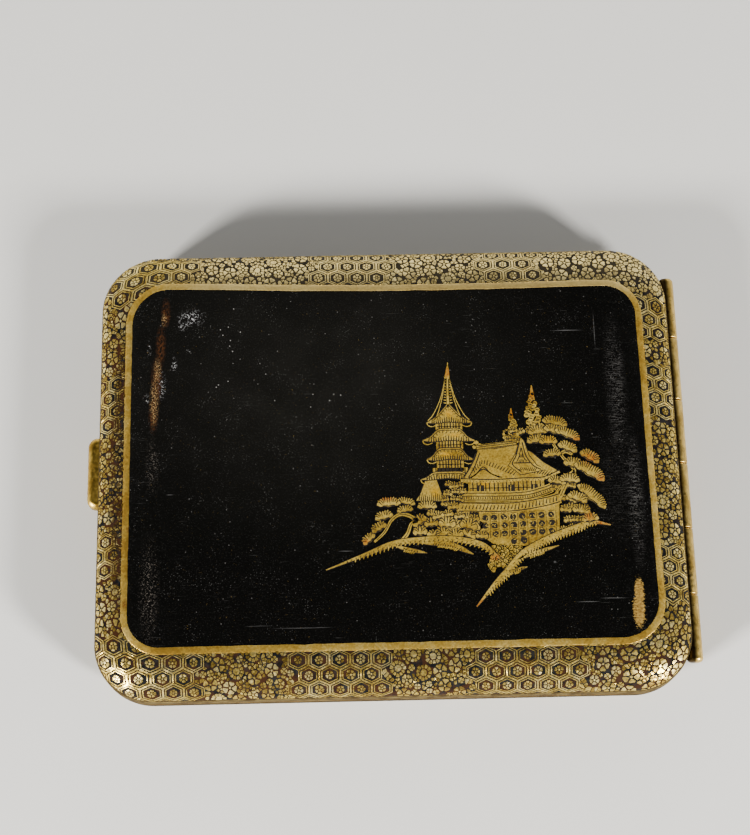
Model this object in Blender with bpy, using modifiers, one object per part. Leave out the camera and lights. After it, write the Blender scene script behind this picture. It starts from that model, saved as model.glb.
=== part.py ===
"""A hinged pocket cigarette case, closed and lying on its underside.

Two shallow pressed shells meet at a seam at half height. A six-knuckle barrel hinge runs along the
right side and a push bar sits in a slot in the left side. Metres, +Z up, origin at the centre of
the flat underside, +X towards the hinge, +Y away from the front edge.
"""

import math

import bmesh
import bpy
from mathutils import Matrix, Vector

MM = 0.001

# The closed case
CASE_WIDTH = 110 * MM
CASE_DEPTH = 87 * MM
CASE_HEIGHT = 14 * MM
CORNER_RADIUS = 11 * MM
WALL = 0.9 * MM
SEAM_GAP = 0.3 * MM

# The pressed form of each shell: an upright lip, then a shoulder that curves in to the flat
LIP_HEIGHT = 1.5 * MM
SIDE_SHOULDER = 16 * MM
END_SHOULDER = 10 * MM
FLAT_CORNER_RADIUS = 4.5 * MM
CORNER_STEPS = 10
SHOULDER_STEPS = 9

# Barrel hinge on the right side
HINGE_LENGTH = 76 * MM
KNUCKLE_COUNT = 6
KNUCKLE_GAP = 0.3 * MM
BARREL_RADIUS = 1.5 * MM
BARREL_OUTSET = 0.5 * MM
BARREL_SEGMENTS = 28
PIN_RADIUS = 0.55 * MM
HINGE_CLEARANCE = 0.3 * MM
LEAF_THICKNESS = 0.7 * MM
LEAF_HEIGHT = 1.9 * MM
LEAF_CLEARANCE = 0.4 * MM
WEB_HEIGHT = 0.6 * MM
WEB_STEP = 0.1 * MM

# Push bar on the left side
BUTTON_LENGTH = 14 * MM
BUTTON_HEIGHT = 3 * MM
BUTTON_PROUD = 2.2 * MM
BUTTON_SHIFT = 0.4 * MM
BUTTON_END_ROUND = 1.9 * MM
BUTTON_EDGE_ROUND = 1.1 * MM
BUTTON_END_STEPS = 6
BUTTON_EDGE_STEPS = 5
BUTTON_CLEARANCE = 0.3 * MM
FLANGE_THICKNESS = 0.7 * MM
FLANGE_MARGIN = 1.5 * MM
FLANGE_DROP = 2.3 * MM
FLANGE_CLEARANCE = 0.6 * MM

# Places worked out from the sizes above
SEAM_HEIGHT = CASE_HEIGHT / 2
SHELL_DEPTH = (CASE_HEIGHT - SEAM_GAP) / 2
HINGE_AXIS = Vector((CASE_WIDTH / 2 + BARREL_OUTSET, 0, SEAM_HEIGHT))
KNUCKLE_PITCH = (HINGE_LENGTH + KNUCKLE_GAP) / KNUCKLE_COUNT
KNUCKLE_LENGTH = KNUCKLE_PITCH - KNUCKLE_GAP
LEAF_LENGTH = min(HINGE_LENGTH, CASE_DEPTH - 2 * CORNER_RADIUS)
SLOT_REACH = WALL + SIDE_SHOULDER / 4
LID_SIDE = 1
BASE_SIDE = -1

# Edges sharper than these, in degrees, stay sharp
SHELL_CREASE = 50
BUTTON_CREASE = 40
HINGE_CREASE = 30

# A face whose normal has at least this much of +Z or -Z counts as flat
FLAT_NORMAL = 0.9


def clear_scene():
    """Remove whatever the file held."""
    for old in list(bpy.data.objects):
        bpy.data.objects.remove(old, do_unlink=True)


def new_collection(name):
    """A collection linked to the scene."""
    collection = bpy.data.collections.new(name)
    bpy.context.scene.collection.children.link(collection)
    return collection


def new_material(name, colour, metallic, roughness):
    """A plain finish for one sub-part."""
    material = bpy.data.materials.new(name)
    material.use_nodes = True
    shader = material.node_tree.nodes["Principled BSDF"]
    shader.inputs["Base Color"].default_value = (*colour, 1)
    shader.inputs["Metallic"].default_value = metallic
    shader.inputs["Roughness"].default_value = roughness
    return material


def object_from(name, mesh_builder, collection, location=(0, 0, 0)):
    """Turn a filled bmesh into an object, and free it."""
    mesh = bpy.data.meshes.new(name)
    mesh_builder.to_mesh(mesh)
    mesh_builder.free()
    made = bpy.data.objects.new(name, mesh)
    made.location = location
    collection.objects.link(made)
    return made


def add_box(builder, size, centre):
    """Add a box of the given size to a bmesh."""
    place = Matrix.Translation(centre) @ Matrix.Diagonal((*size, 1))
    bmesh.ops.create_cube(builder, size=1, matrix=place)


def add_rod(builder, radius, length, centre):
    """Add a round rod that lies along Y to a bmesh."""
    place = Matrix.Translation(centre) @ Matrix.Rotation(math.radians(90), 4, "X")
    bmesh.ops.create_cone(
        builder,
        cap_ends=True,
        segments=BARREL_SEGMENTS,
        radius1=radius,
        radius2=radius,
        depth=length,
        matrix=place,
    )


def round_off(builder, edges, radius, steps):
    """Round some edges of a bmesh."""
    bmesh.ops.bevel(
        builder, geom=edges, offset=radius, segments=steps, profile=0.5, affect="EDGES"
    )


def helper_from(name, mesh_builder, collection):
    """A hidden object that a Boolean uses."""
    helper = object_from(name, mesh_builder, collection)
    helper.hide_render = True
    helper.display_type = "WIRE"
    return helper


def add_boolean(target, operation, helper):
    """Cut or join one helper."""
    modifier = target.modifiers.new(f"{operation.lower()}_{helper.name}", "BOOLEAN")
    modifier.operation = operation
    modifier.solver = "EXACT"
    modifier.object = helper


def shade_round(target, angle):
    """Smooth shading, broken at edges sharper than the angle."""
    target.data.shade_smooth()
    target.data.set_sharp_from_angle(angle=math.radians(angle))


def rounded_rectangle(half_width, half_depth, radius, height):
    """The points of one ring, anticlockwise seen from above."""
    points = []
    for quarter in range(4):
        across = 1 if quarter in (0, 3) else -1
        along = 1 if quarter in (0, 1) else -1
        centre_x = across * (half_width - radius)
        centre_y = along * (half_depth - radius)
        for step in range(CORNER_STEPS + 1):
            angle = math.radians(90) * (quarter + step / CORNER_STEPS)
            x = centre_x + radius * math.cos(angle)
            y = centre_y + radius * math.sin(angle)
            points.append(Vector((x, y, height)))
    return points


def shell_rings():
    """The rings of one shell, from its rim at height 0 up to the edge of the flat."""
    half_width = CASE_WIDTH / 2
    half_depth = CASE_DEPTH / 2
    rings = [rounded_rectangle(half_width, half_depth, CORNER_RADIUS, 0)]
    for step in range(SHOULDER_STEPS + 1):
        turn = math.radians(90) * step / SHOULDER_STEPS
        inward = 1 - math.cos(turn)
        rings.append(
            rounded_rectangle(
                half_width - SIDE_SHOULDER * inward,
                half_depth - END_SHOULDER * inward,
                CORNER_RADIUS + (FLAT_CORNER_RADIUS - CORNER_RADIUS) * inward,
                LIP_HEIGHT + (SHELL_DEPTH - LIP_HEIGHT) * math.sin(turn),
            )
        )
    return rings


def make_shell(name, side, material, collection):
    """One pressed shell: a loft through the rings, closed by the flat, given its wall inwards."""
    builder = bmesh.new()
    rings = [[builder.verts.new(point) for point in ring] for ring in shell_rings()]
    for lower, upper in zip(rings, rings[1:]):
        for index, corner in enumerate(lower):
            after = (index + 1) % len(lower)
            builder.faces.new((corner, lower[after], upper[after], upper[index]))
    builder.faces.new(rings[-1])
    if side == BASE_SIDE:
        bmesh.ops.scale(builder, vec=(1, 1, -1), verts=builder.verts)
        bmesh.ops.reverse_faces(builder, faces=builder.faces)
    rim = Vector((0, 0, SEAM_HEIGHT + side * SEAM_GAP / 2))
    shell = object_from(name, builder, collection, rim)
    shell.data.materials.append(material)
    solidify = shell.modifiers.new("wall", "SOLIDIFY")
    solidify.thickness = WALL
    solidify.offset = -1
    solidify.use_even_offset = True
    return shell


def make_hinge_channel(collection):
    """The room that the barrel and the webs of its leaves need in both walls."""
    length = HINGE_LENGTH + 2 * HINGE_CLEARANCE
    builder = bmesh.new()
    add_rod(builder, BARREL_RADIUS + HINGE_CLEARANCE, length, HINGE_AXIS)
    barrel_room = helper_from("barrel_room", builder, collection)

    web_reach = WALL + 2 * LEAF_CLEARANCE + BARREL_OUTSET
    half_height = SEAM_GAP / 2 + WEB_STEP + WEB_HEIGHT + HINGE_CLEARANCE
    builder = bmesh.new()
    centre = HINGE_AXIS - Vector((web_reach / 2, 0, 0))
    add_box(builder, (web_reach, length, 2 * half_height), centre)
    web_room = helper_from("web_room", builder, collection)
    return barrel_room, web_room


def knuckle_centres(side):
    """Every second place along the hinge, from the far end for the lid's leaf."""
    first = 0 if side == LID_SIDE else 1
    far_end = (HINGE_LENGTH - KNUCKLE_LENGTH) / 2
    return [far_end - index * KNUCKLE_PITCH for index in range(first, KNUCKLE_COUNT, 2)]


def make_leaf(name, side, pin_room, material, collection, helpers):
    """A strip behind the wall, with its knuckles joined on by short webs."""
    strip_x = CASE_WIDTH / 2 - WALL - LEAF_CLEARANCE - LEAF_THICKNESS / 2
    strip_z = SEAM_HEIGHT + side * (SEAM_GAP + LEAF_HEIGHT) / 2
    builder = bmesh.new()
    strip_size = (LEAF_THICKNESS, LEAF_LENGTH, LEAF_HEIGHT)
    add_box(builder, strip_size, Vector((strip_x, 0, strip_z)))
    leaf = object_from(name, builder, collection)
    leaf.data.materials.append(material)

    barrels = bmesh.new()
    webs = bmesh.new()
    web_end = HINGE_AXIS.x - (BARREL_RADIUS + PIN_RADIUS + HINGE_CLEARANCE) / 2
    web_z = SEAM_HEIGHT + side * (SEAM_GAP / 2 + WEB_STEP + WEB_HEIGHT / 2)
    for y in knuckle_centres(side):
        add_rod(barrels, BARREL_RADIUS, KNUCKLE_LENGTH, HINGE_AXIS + Vector((0, y, 0)))
        web_near = max(y - KNUCKLE_LENGTH / 2, -LEAF_LENGTH / 2) + WEB_STEP
        web_far = min(y + KNUCKLE_LENGTH / 2, LEAF_LENGTH / 2) - WEB_STEP
        web_size = (web_end - strip_x, web_far - web_near, WEB_HEIGHT)
        web_centre = Vector(((web_end + strip_x) / 2, (web_near + web_far) / 2, web_z))
        add_box(webs, web_size, web_centre)
    add_boolean(leaf, "UNION", helper_from(f"{name}_webs", webs, helpers))
    add_boolean(leaf, "UNION", helper_from(f"{name}_barrels", barrels, helpers))
    add_boolean(leaf, "DIFFERENCE", pin_room)
    shade_round(leaf, HINGE_CREASE)
    return leaf


def make_pin_room(collection):
    """The bore through every knuckle, longer than the barrel."""
    builder = bmesh.new()
    length = HINGE_LENGTH + 2 * HINGE_CLEARANCE
    add_rod(builder, PIN_RADIUS + HINGE_CLEARANCE, length, HINGE_AXIS)
    return helper_from("pin_room", builder, collection)


def make_pin(material, collection):
    """The hinge pin, ending flush with the barrel."""
    builder = bmesh.new()
    add_rod(builder, PIN_RADIUS, HINGE_LENGTH, Vector((0, 0, 0)))
    pin = object_from("hinge_pin", builder, collection, HINGE_AXIS)
    pin.data.materials.append(material)
    shade_round(pin, HINGE_CREASE)
    return pin


def make_button_slot(collection):
    """The opening for the push bar, half in each shell's rim."""
    builder = bmesh.new()
    size = (
        2 * SLOT_REACH,
        BUTTON_LENGTH + 2 * BUTTON_CLEARANCE,
        BUTTON_HEIGHT + 2 * BUTTON_CLEARANCE,
    )
    add_box(builder, size, Vector((-CASE_WIDTH / 2, BUTTON_SHIFT, SEAM_HEIGHT)))
    return helper_from("button_slot", builder, collection)


def make_button(material, collection, helpers):
    """The push bar with its rounded outer end, and the flange inside that keeps it in its slot."""
    flange_outer = -CASE_WIDTH / 2 + WALL + FLANGE_CLEARANCE
    bar_start = -CASE_WIDTH / 2 - BUTTON_PROUD
    bar_end = flange_outer + FLANGE_THICKNESS / 2
    builder = bmesh.new()
    bar_size = (bar_end - bar_start, BUTTON_LENGTH, BUTTON_HEIGHT)
    add_box(builder, bar_size, Vector(((bar_end - bar_start) / 2, 0, 0)))

    def faces_outwards(edge):
        return all(corner.co.x < BUTTON_END_ROUND for corner in edge.verts)

    def is_upright(edge):
        return abs(edge.verts[0].co.z - edge.verts[1].co.z) > BUTTON_HEIGHT / 2

    ends = [e for e in builder.edges if faces_outwards(e) and is_upright(e)]
    round_off(builder, ends, BUTTON_END_ROUND, BUTTON_END_STEPS)
    top_and_bottom = [f for f in builder.faces if abs(f.normal.z) > FLAT_NORMAL]
    rims = {e for f in top_and_bottom for e in f.edges}
    round_off(builder, list(rims), BUTTON_EDGE_ROUND, BUTTON_EDGE_STEPS)
    place = Vector((bar_start, BUTTON_SHIFT, SEAM_HEIGHT))
    button = object_from("thumb_button", builder, collection, place)
    button.data.materials.append(material)

    top = SEAM_HEIGHT - SEAM_GAP / 2
    size = (FLANGE_THICKNESS, BUTTON_LENGTH + 2 * FLANGE_MARGIN, FLANGE_DROP)
    flange = bmesh.new()
    centre_x = flange_outer + FLANGE_THICKNESS / 2
    add_box(flange, size, Vector((centre_x, BUTTON_SHIFT, top - FLANGE_DROP / 2)))
    add_boolean(button, "UNION", helper_from("button_flange", flange, helpers))
    shade_round(button, BUTTON_CREASE)
    return button


def hang_on(empty, pieces):
    """Parent pieces to an empty, each staying where it is."""
    for piece in pieces:
        piece.parent = empty
        piece.location -= empty.location


def main():
    clear_scene()
    case = new_collection("cigarette_case")
    helpers = new_collection("cutters")

    lacquer = new_material("black_lacquer_and_gold", (0.03, 0.026, 0.02), 0.4, 0.35)
    lower_lacquer = new_material("base_lacquer_and_gold", (0.035, 0.03, 0.022), 0.4, 0.4)
    hinge_brass = new_material("hinge_brass", (0.42, 0.29, 0.09), 1.0, 0.35)
    base_leaf_brass = new_material("base_leaf_brass", (0.40, 0.28, 0.09), 1.0, 0.38)
    pin_brass = new_material("pin_brass", (0.36, 0.25, 0.09), 1.0, 0.4)
    button_brass = new_material("button_brass", (0.45, 0.31, 0.10), 1.0, 0.32)

    lid_shell = make_shell("lid_shell", LID_SIDE, lacquer, case)
    base_shell = make_shell("base_shell", BASE_SIDE, lower_lacquer, case)
    barrel_room, web_room = make_hinge_channel(helpers)
    button_slot = make_button_slot(helpers)
    for shell in (lid_shell, base_shell):
        for cutter in (barrel_room, web_room, button_slot):
            add_boolean(shell, "DIFFERENCE", cutter)
        shade_round(shell, SHELL_CREASE)

    pin_room = make_pin_room(helpers)
    lid_leaf = make_leaf("lid_hinge_leaf", LID_SIDE, pin_room, hinge_brass, case, helpers)
    make_leaf("base_hinge_leaf", BASE_SIDE, pin_room, base_leaf_brass, case, helpers)
    make_pin(pin_brass, case)
    make_button(button_brass, case, helpers)

    lid_axis = bpy.data.objects.new("lid_axis", None)
    lid_axis.location = HINGE_AXIS
    case.objects.link(lid_axis)
    hang_on(lid_axis, (lid_shell, lid_leaf))


main()
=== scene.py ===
"""Looks of a hinged cigarette case in black lacquer and gold, closed and seen from above.

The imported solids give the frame. Smooth skins stand for the shells, the hinge and the push bar. A
sheet of lacquer, a plain gold line, a gold pattern of hexagons and blossoms and a gold landscape
lie on the lid as thin mesh. Lengths are millimetres until a mesh is made.
"""

import math

import bmesh
import bpy
import numpy as np
from mathutils import Matrix, Vector
from mathutils.geometry import delaunay_2d_cdt, tessellate_polygon


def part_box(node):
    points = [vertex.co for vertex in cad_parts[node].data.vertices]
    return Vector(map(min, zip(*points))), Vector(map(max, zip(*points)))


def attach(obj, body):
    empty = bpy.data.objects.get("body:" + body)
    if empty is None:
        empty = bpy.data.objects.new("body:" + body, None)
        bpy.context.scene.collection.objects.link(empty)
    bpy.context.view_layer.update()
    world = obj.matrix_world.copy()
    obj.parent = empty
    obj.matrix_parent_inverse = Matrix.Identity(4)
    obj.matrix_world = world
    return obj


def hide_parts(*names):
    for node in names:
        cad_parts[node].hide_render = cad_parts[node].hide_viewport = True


MM = 0.001

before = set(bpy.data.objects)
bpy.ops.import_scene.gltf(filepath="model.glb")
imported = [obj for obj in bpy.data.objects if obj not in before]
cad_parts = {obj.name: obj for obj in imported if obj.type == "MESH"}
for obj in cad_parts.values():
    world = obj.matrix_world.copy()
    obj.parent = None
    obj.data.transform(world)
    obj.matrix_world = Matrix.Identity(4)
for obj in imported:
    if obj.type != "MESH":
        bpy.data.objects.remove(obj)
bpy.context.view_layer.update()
lid_low, lid_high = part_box("lid_shell")
base_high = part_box("base_shell")[1]
pin_low, pin_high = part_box("hinge_pin")
button_low, button_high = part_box("thumb_button")

# The form of the shells
HALF_WIDTH = lid_high.x / MM
HALF_DEPTH = lid_high.y / MM
CASE_TOP = lid_high.z / MM
LID_RIM = lid_low.z / MM
BASE_RIM = base_high.z / MM
SEAM = (LID_RIM + BASE_RIM) / 2
SHELL_DEPTH = CASE_TOP - LID_RIM
CORNER_RADIUS = 11.0
FLAT_CORNER_RADIUS = 4.5
LIP_HEIGHT = 1.5
SIDE_SHOULDER = 16.0
END_SHOULDER = 10.0
WALL = 0.9

# The decorated zones, measured in plan from the outside of the case
PANEL_INSET_X = 6.42
PANEL_INSET_Y = 9.2
LINE_WIDTH = 1.25
LINE_CORNER_RADIUS = 5.9
PLAIN_LIP = 2.6
LIP_LINES = (0.9, 1.7, 2.5)
LIP_LINE_HALF_WIDTH = 0.18
LIP_EDGE = 0.12

# The hand-laid line isn't quite true: where each corner has moved to, its radius, and the back's bow.
# The corners run from back right, against the clock.
CORNER_SHIFTS = ((-0.5, 0.05), (0.0, 0.95), (0.0, 0.0), (0.0, 0.0))
CORNER_RADII = (7.0, 8.2, 7.4, 8.5)
BACK_BOW = -0.75

# How far each layer stands out from the shell and goes down into it, and the most that a leaf tilts
PANEL_RELIEF = 0.025
PATTERN_RELIEF = 0.045
LINE_RELIEF = 0.065
PICTURE_RELIEF = 0.06
MOST_SLOPE = 0.03
LAYER_SINK = 0.02

LID = 1
BASE = -1


# Surface of a shell

RIGHT_ANGLE = math.radians(90)
CORNER_SIGNS = np.array([(1, 1), (-1, 1), (-1, -1), (1, -1)])
HEIGHT_SEARCH_STEPS = 26
SEAM_SEARCH_STEPS = 30


def ring_size(inward):
    """Half width, half depth and corner radius of the ring that far in over the shoulder, 0 to 1."""
    return (
        HALF_WIDTH - SIDE_SHOULDER * inward,
        HALF_DEPTH - END_SHOULDER * inward,
        CORNER_RADIUS + (FLAT_CORNER_RADIUS - CORNER_RADIUS) * inward,
    )


def rounded_distance(x, y, half_width, half_depth, radius):
    """Signed distance from each point to a rounded rectangle."""
    over_x = np.abs(x) - (half_width - radius)
    over_y = np.abs(y) - (half_depth - radius)
    outside = np.hypot(np.maximum(over_x, 0), np.maximum(over_y, 0))
    return outside + np.minimum(np.maximum(over_x, over_y), 0) - radius


def rise(inward):
    """Height of a ring above the rim."""
    return LIP_HEIGHT + (SHELL_DEPTH - LIP_HEIGHT) * np.sqrt(1 - (1 - inward) ** 2)


def bisected(low, high, is_beyond, steps):
    """Narrow the gap between places short of an edge and places beyond it."""
    for _ in range(steps):
        middle = (low + high) / 2
        beyond = is_beyond(middle)
        low = np.where(beyond, low, middle)
        high = np.where(beyond, middle, high)
    return low, high


def shell_height(x, y):
    """Height above the rim of a shell's outer face over each point of its plan."""
    start = np.zeros_like(x, dtype=float)

    def is_outside(inward):
        return rounded_distance(x, y, *ring_size(inward)) > 0

    low, high = bisected(start, start + 1, is_outside, HEIGHT_SEARCH_STEPS)
    return rise((low + high) / 2)


def corner_parts(around):
    """Number of the side or corner, the part of it, the share of the way to the next, and the way out.

    around runs 0 to 8: each side, then the corner after it.
    """
    whole = np.floor(around)
    part = around - whole
    number = whole.astype(int) % 8
    on_corner = number % 2 == 1
    angle = RIGHT_ANGLE * (number // 2 + np.where(on_corner, part, 0))
    outward = np.stack([np.cos(angle), np.sin(angle)], axis=-1)
    share = np.where(on_corner, 1, part)[..., None]
    return number, part, share, outward


def ring_points(around, half_width, half_depth, radius):
    """Points of a rounded rectangle at places around it."""
    number, _, share, outward = corner_parts(around)
    centre = np.array([half_width - radius, half_depth - radius])
    after = CORNER_SIGNS[number // 2] * centre
    before = CORNER_SIGNS[number // 2 - 1] * centre
    return before + (after - before) * share + radius * outward


def around_of(x, y, half_width, half_depth, radius):
    """The place along a rounded rectangle that is nearest to each point."""
    core_x = half_width - radius
    core_y = half_depth - radius
    on_corner = (np.abs(x) > core_x) & (np.abs(y) > core_y)
    angle = np.arctan2(y - np.sign(y) * core_y, x - np.sign(x) * core_x) % (2 * math.pi)
    turns = angle / RIGHT_ANGLE
    corner = 2 * np.floor(turns) + 1 + (turns - np.floor(turns))
    sideways = np.abs(x) - half_width > np.abs(y) - half_depth
    right = np.where(x > 0, (y + core_y) / (2 * core_y), 4 + (core_y - y) / (2 * core_y))
    back = np.where(y > 0, 2 + (core_x - x) / (2 * core_x), 6 + (x + core_x) / (2 * core_x))
    return np.where(on_corner, corner, np.where(sideways, right, back)) % 8


LINE_HALF_WIDTH = HALF_WIDTH - PANEL_INSET_X + LINE_WIDTH
LINE_HALF_DEPTH = HALF_DEPTH - PANEL_INSET_Y + LINE_WIDTH
LINE_RING = (LINE_HALF_WIDTH, LINE_HALF_DEPTH, LINE_CORNER_RADIUS)


def line_ring(out):
    """The ring of the gold line's outer edge, moved out by some millimetres."""
    return [size + out for size in LINE_RING]


def laid_line(around):
    """Outer edge of the gold line as it was laid, at places around the case."""
    radii = np.array(CORNER_RADII)[:, None]
    corner = np.array([LINE_HALF_WIDTH, LINE_HALF_DEPTH]) - radii
    centres = CORNER_SIGNS * corner + np.array(CORNER_SHIFTS)
    number, part, share, outward = corner_parts(around)
    quarter = number // 2
    after = centres[quarter] + radii[quarter] * outward
    before = centres[quarter - 1] + radii[quarter - 1] * outward
    bow = np.where(number == 2, BACK_BOW * np.sin(math.pi * part), 0)[:, None]
    return before + (after - before) * share + outward * bow


COLUMNS_PER_PART = 48
AROUND = np.arange(8 * COLUMNS_PER_PART) / COLUMNS_PER_PART
LAID_SHIFT = laid_line(AROUND) - ring_points(AROUND, *LINE_RING)
ROW_STEP = 0.15
PATH_STEPS = 120
UNDER_LINE = 3.0
RIM_MARGIN = 0.05
NORMAL_AROUND = 0.01
NORMAL_OUT = 0.12


class ShoulderMap:
    """Lays a flat sheet over the shoulder of a shell.

    The sheet's x and y are the plan's up to the outer edge of the gold line. Beyond that edge, a
    distance on the sheet is a distance on the curved face.
    """

    def __init__(self):
        line = laid_line(AROUND)
        inner = ring_points(AROUND, *line_ring(-UNDER_LINE)) + LAID_SHIFT
        outward = (line - inner) / np.linalg.norm(line - inner, axis=1, keepdims=True)

        def is_outside(reach):
            return rounded_distance(*(line + outward * reach[:, None]).T, *ring_size(0.0)) > 0

        far = np.full(len(line), float(CORNER_RADIUS + SIDE_SHOULDER))
        near, _ = bisected(np.zeros(len(line)), far, is_outside, SEAM_SEARCH_STEPS)
        seam = line + outward * near[:, None]
        tau = np.linspace(0, 1, PATH_STEPS)
        rows = [inner + (line - inner) * t for t in tau[:-1]]
        rows += [line + (seam - line) * math.sin(t * math.pi / 2) for t in tau]
        plan = np.stack(rows, axis=1)
        height = shell_height(plan[..., 0], plan[..., 1])
        path = np.concatenate([plan, height[..., None]], axis=-1)
        rim = path[:, -1:].copy()
        rim[..., 2] = 0
        path = np.concatenate([path, rim], axis=1)
        steps = np.linalg.norm(np.diff(path, axis=1), axis=-1)
        length = np.concatenate([np.zeros((len(path), 1)), np.cumsum(steps, axis=1)], axis=1)
        length -= length[:, PATH_STEPS - 1 : PATH_STEPS]
        self.lip = length[:, -2]
        wanted = np.arange(-UNDER_LINE, length[:, -1].max() + ROW_STEP, ROW_STEP)
        columns = [
            [np.interp(wanted, own, line_of[:, axis]) for axis in range(3)]
            for own, line_of in zip(length, path)
        ]
        self.points = np.moveaxis(np.array(columns), 1, 2)

    def columns_at(self, around):
        """The columns before and after a place, and how far it lies between them."""
        position = (around % 8) * COLUMNS_PER_PART
        before = np.floor(position).astype(int)
        return before % len(AROUND), (before + 1) % len(AROUND), position - before

    def lip_at(self, around):
        """How far out the upright lip starts at a place around the case."""
        before, after, part = self.columns_at(around)
        return self.lip[before] * (1 - part) + self.lip[after] * part

    def at(self, around, out):
        """Points of the face, above the rim, from the place around and the distance out."""
        column, after, part = self.columns_at(around)
        part = part[..., None]
        rows = self.points.shape[1]
        level = np.clip((out + UNDER_LINE) / ROW_STEP, 0, rows - 1.001)
        row = np.floor(level).astype(int)
        up = (level - row)[..., None]
        near = self.points[column, row] * (1 - part) + self.points[after, row] * part
        far = self.points[column, row + 1] * (1 - part) + self.points[after, row + 1] * part
        return near * (1 - up) + far * up

    def place(self, x, y, relief):
        """Sheet points laid on the face and lifted off it by the relief."""
        around = around_of(x, y, *LINE_RING)
        out = rounded_distance(x, y, *LINE_RING)
        out = np.minimum(out, self.lip_at(around) + LIP_HEIGHT - RIM_MARGIN)
        here = self.at(around, out)
        along = self.at(around + NORMAL_AROUND, out) - self.at(around - NORMAL_AROUND, out)
        across = self.at(around, out + NORMAL_OUT) - self.at(around, out - NORMAL_OUT)
        normal = np.cross(across, along)
        normal /= np.maximum(np.linalg.norm(normal, axis=-1, keepdims=True), 1e-9)
        return here + normal * np.asarray(relief)[..., None]


SHOULDER = ShoulderMap()


def place_on_top(x, y, relief):
    """Plan points laid on the lid's face and lifted straight up."""
    return np.stack([x, y, shell_height(x, y) + relief], axis=-1)


def to_side(points, side):
    """Points above a rim, moved to the lid, or turned over to the base."""
    moved = points.copy()
    moved[..., 2] = (LID_RIM + points[..., 2]) if side == LID else (BASE_RIM - points[..., 2])
    return moved


# Meshes


def add_object(name, data):
    """A new object in the scene."""
    made = bpy.data.objects.new(name, data)
    bpy.context.scene.collection.objects.link(made)
    return made


def finish_object(name, mesh, materials, body):
    """Add a mesh that is part of the case."""
    for material in materials:
        mesh.materials.append(material)
    piece = add_object(name, mesh)
    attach(piece, body)
    return piece


def stand_for(piece, node, sharp_angle):
    """Shade a piece smooth but for its sharp edges, and let it stand for a solid."""
    piece.data.shade_smooth()
    piece.data.set_sharp_from_angle(angle=math.radians(sharp_angle))
    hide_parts(node)


def mesh_of(name, points, faces, side):
    """A mesh in metres from points in millimetres above a rim, moved to one of the shells."""
    mesh = bpy.data.meshes.new(name)
    mesh.from_pydata((to_side(np.asarray(points), side) * MM).tolist(), [], faces)
    mesh.validate()
    if side == BASE:
        mesh.flip_normals()
    return mesh


def mesh_from(builder, name):
    """A mesh from a bmesh, which is used up."""
    mesh = bpy.data.meshes.new(name)
    builder.to_mesh(mesh)
    builder.free()
    return mesh


def band_faces(rings, size):
    """Faces between neighbouring rings, each of the same number of points."""
    return [
        (low + i, low + (i + 1) % size, low + size + (i + 1) % size, low + size + i)
        for low in range(0, (rings - 1) * size, size)
        for i in range(size)
    ]


def set_tones(mesh, values):
    """Give each point of a mesh its tone, from dark 0 to pale 1, which the gold reads."""
    tone = mesh.attributes.new("tone", "FLOAT", "POINT")
    tone.data.foreach_set("value", np.array(values, dtype=np.float32))


def turns_left(outline):
    """Whether a closed outline runs against the clock."""
    after = np.roll(outline, -1, axis=0)
    return np.sum(outline[:, 0] * after[:, 1] - outline[:, 1] * after[:, 0]) >= 0


class Inlay:
    """Thin leaves of one metal on one shell: each has a top, and edges that go down into the shell."""

    def __init__(self, side, placer):
        self.side = side
        self.placer = placer
        self.leaves = []

    def add(self, outline, relief, tone, tilt=(0, 0), dome=None):
        """One leaf. A tilt, in mm of height per mm, makes it catch the light in its own way.

        A leaf with a dome is a fan round its middle, which stands out by that much.
        """
        outline = np.asarray(outline, dtype=float)
        if len(outline) < 3:
            return
        if not turns_left(outline):
            outline = outline[::-1]
        self.leaves.append((outline, relief, tone, tilt, dome))

    def build(self, name, material, body, slot):
        """Turn the collected leaves into one object."""
        points, depths, faces, tones = [], [], [], []
        count = 0
        for outline, relief, tone, tilt, dome in self.leaves:
            size = len(outline)
            middle = outline.mean(axis=0)
            slope = np.clip((outline - middle) @ np.asarray(tilt), -MOST_SLOPE, MOST_SLOPE)
            top = range(count, count + size)
            points += [outline, outline]
            depths += [relief + slope, np.full(size, -LAYER_SINK)]
            used = 2 * size
            if dome is None:
                corners = [Vector((x, y, 0)) for x, y in outline]
                faces += [[top[corner] for corner in face] for face in tessellate_polygon([corners])]
            else:
                points.append(middle[None])
                depths.append(np.array([relief + dome]))
                faces += [(top[i], top[(i + 1) % size], count + used) for i in range(size)]
                used += 1
            for i in range(size):
                after = top[(i + 1) % size]
                faces.append((top[i] + size, after + size, after, top[i]))
            tones += [tone] * used
            count += used
        flat = np.concatenate(points)
        placed = self.placer(flat[:, 0], flat[:, 1], np.concatenate(depths))
        mesh = mesh_of(name, placed, faces, self.side)
        set_tones(mesh, tones)
        finish_object(name, mesh, [material], body)


# Materials


def rgb(red, green, blue):
    return (red, green, blue, 1.0)


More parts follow.
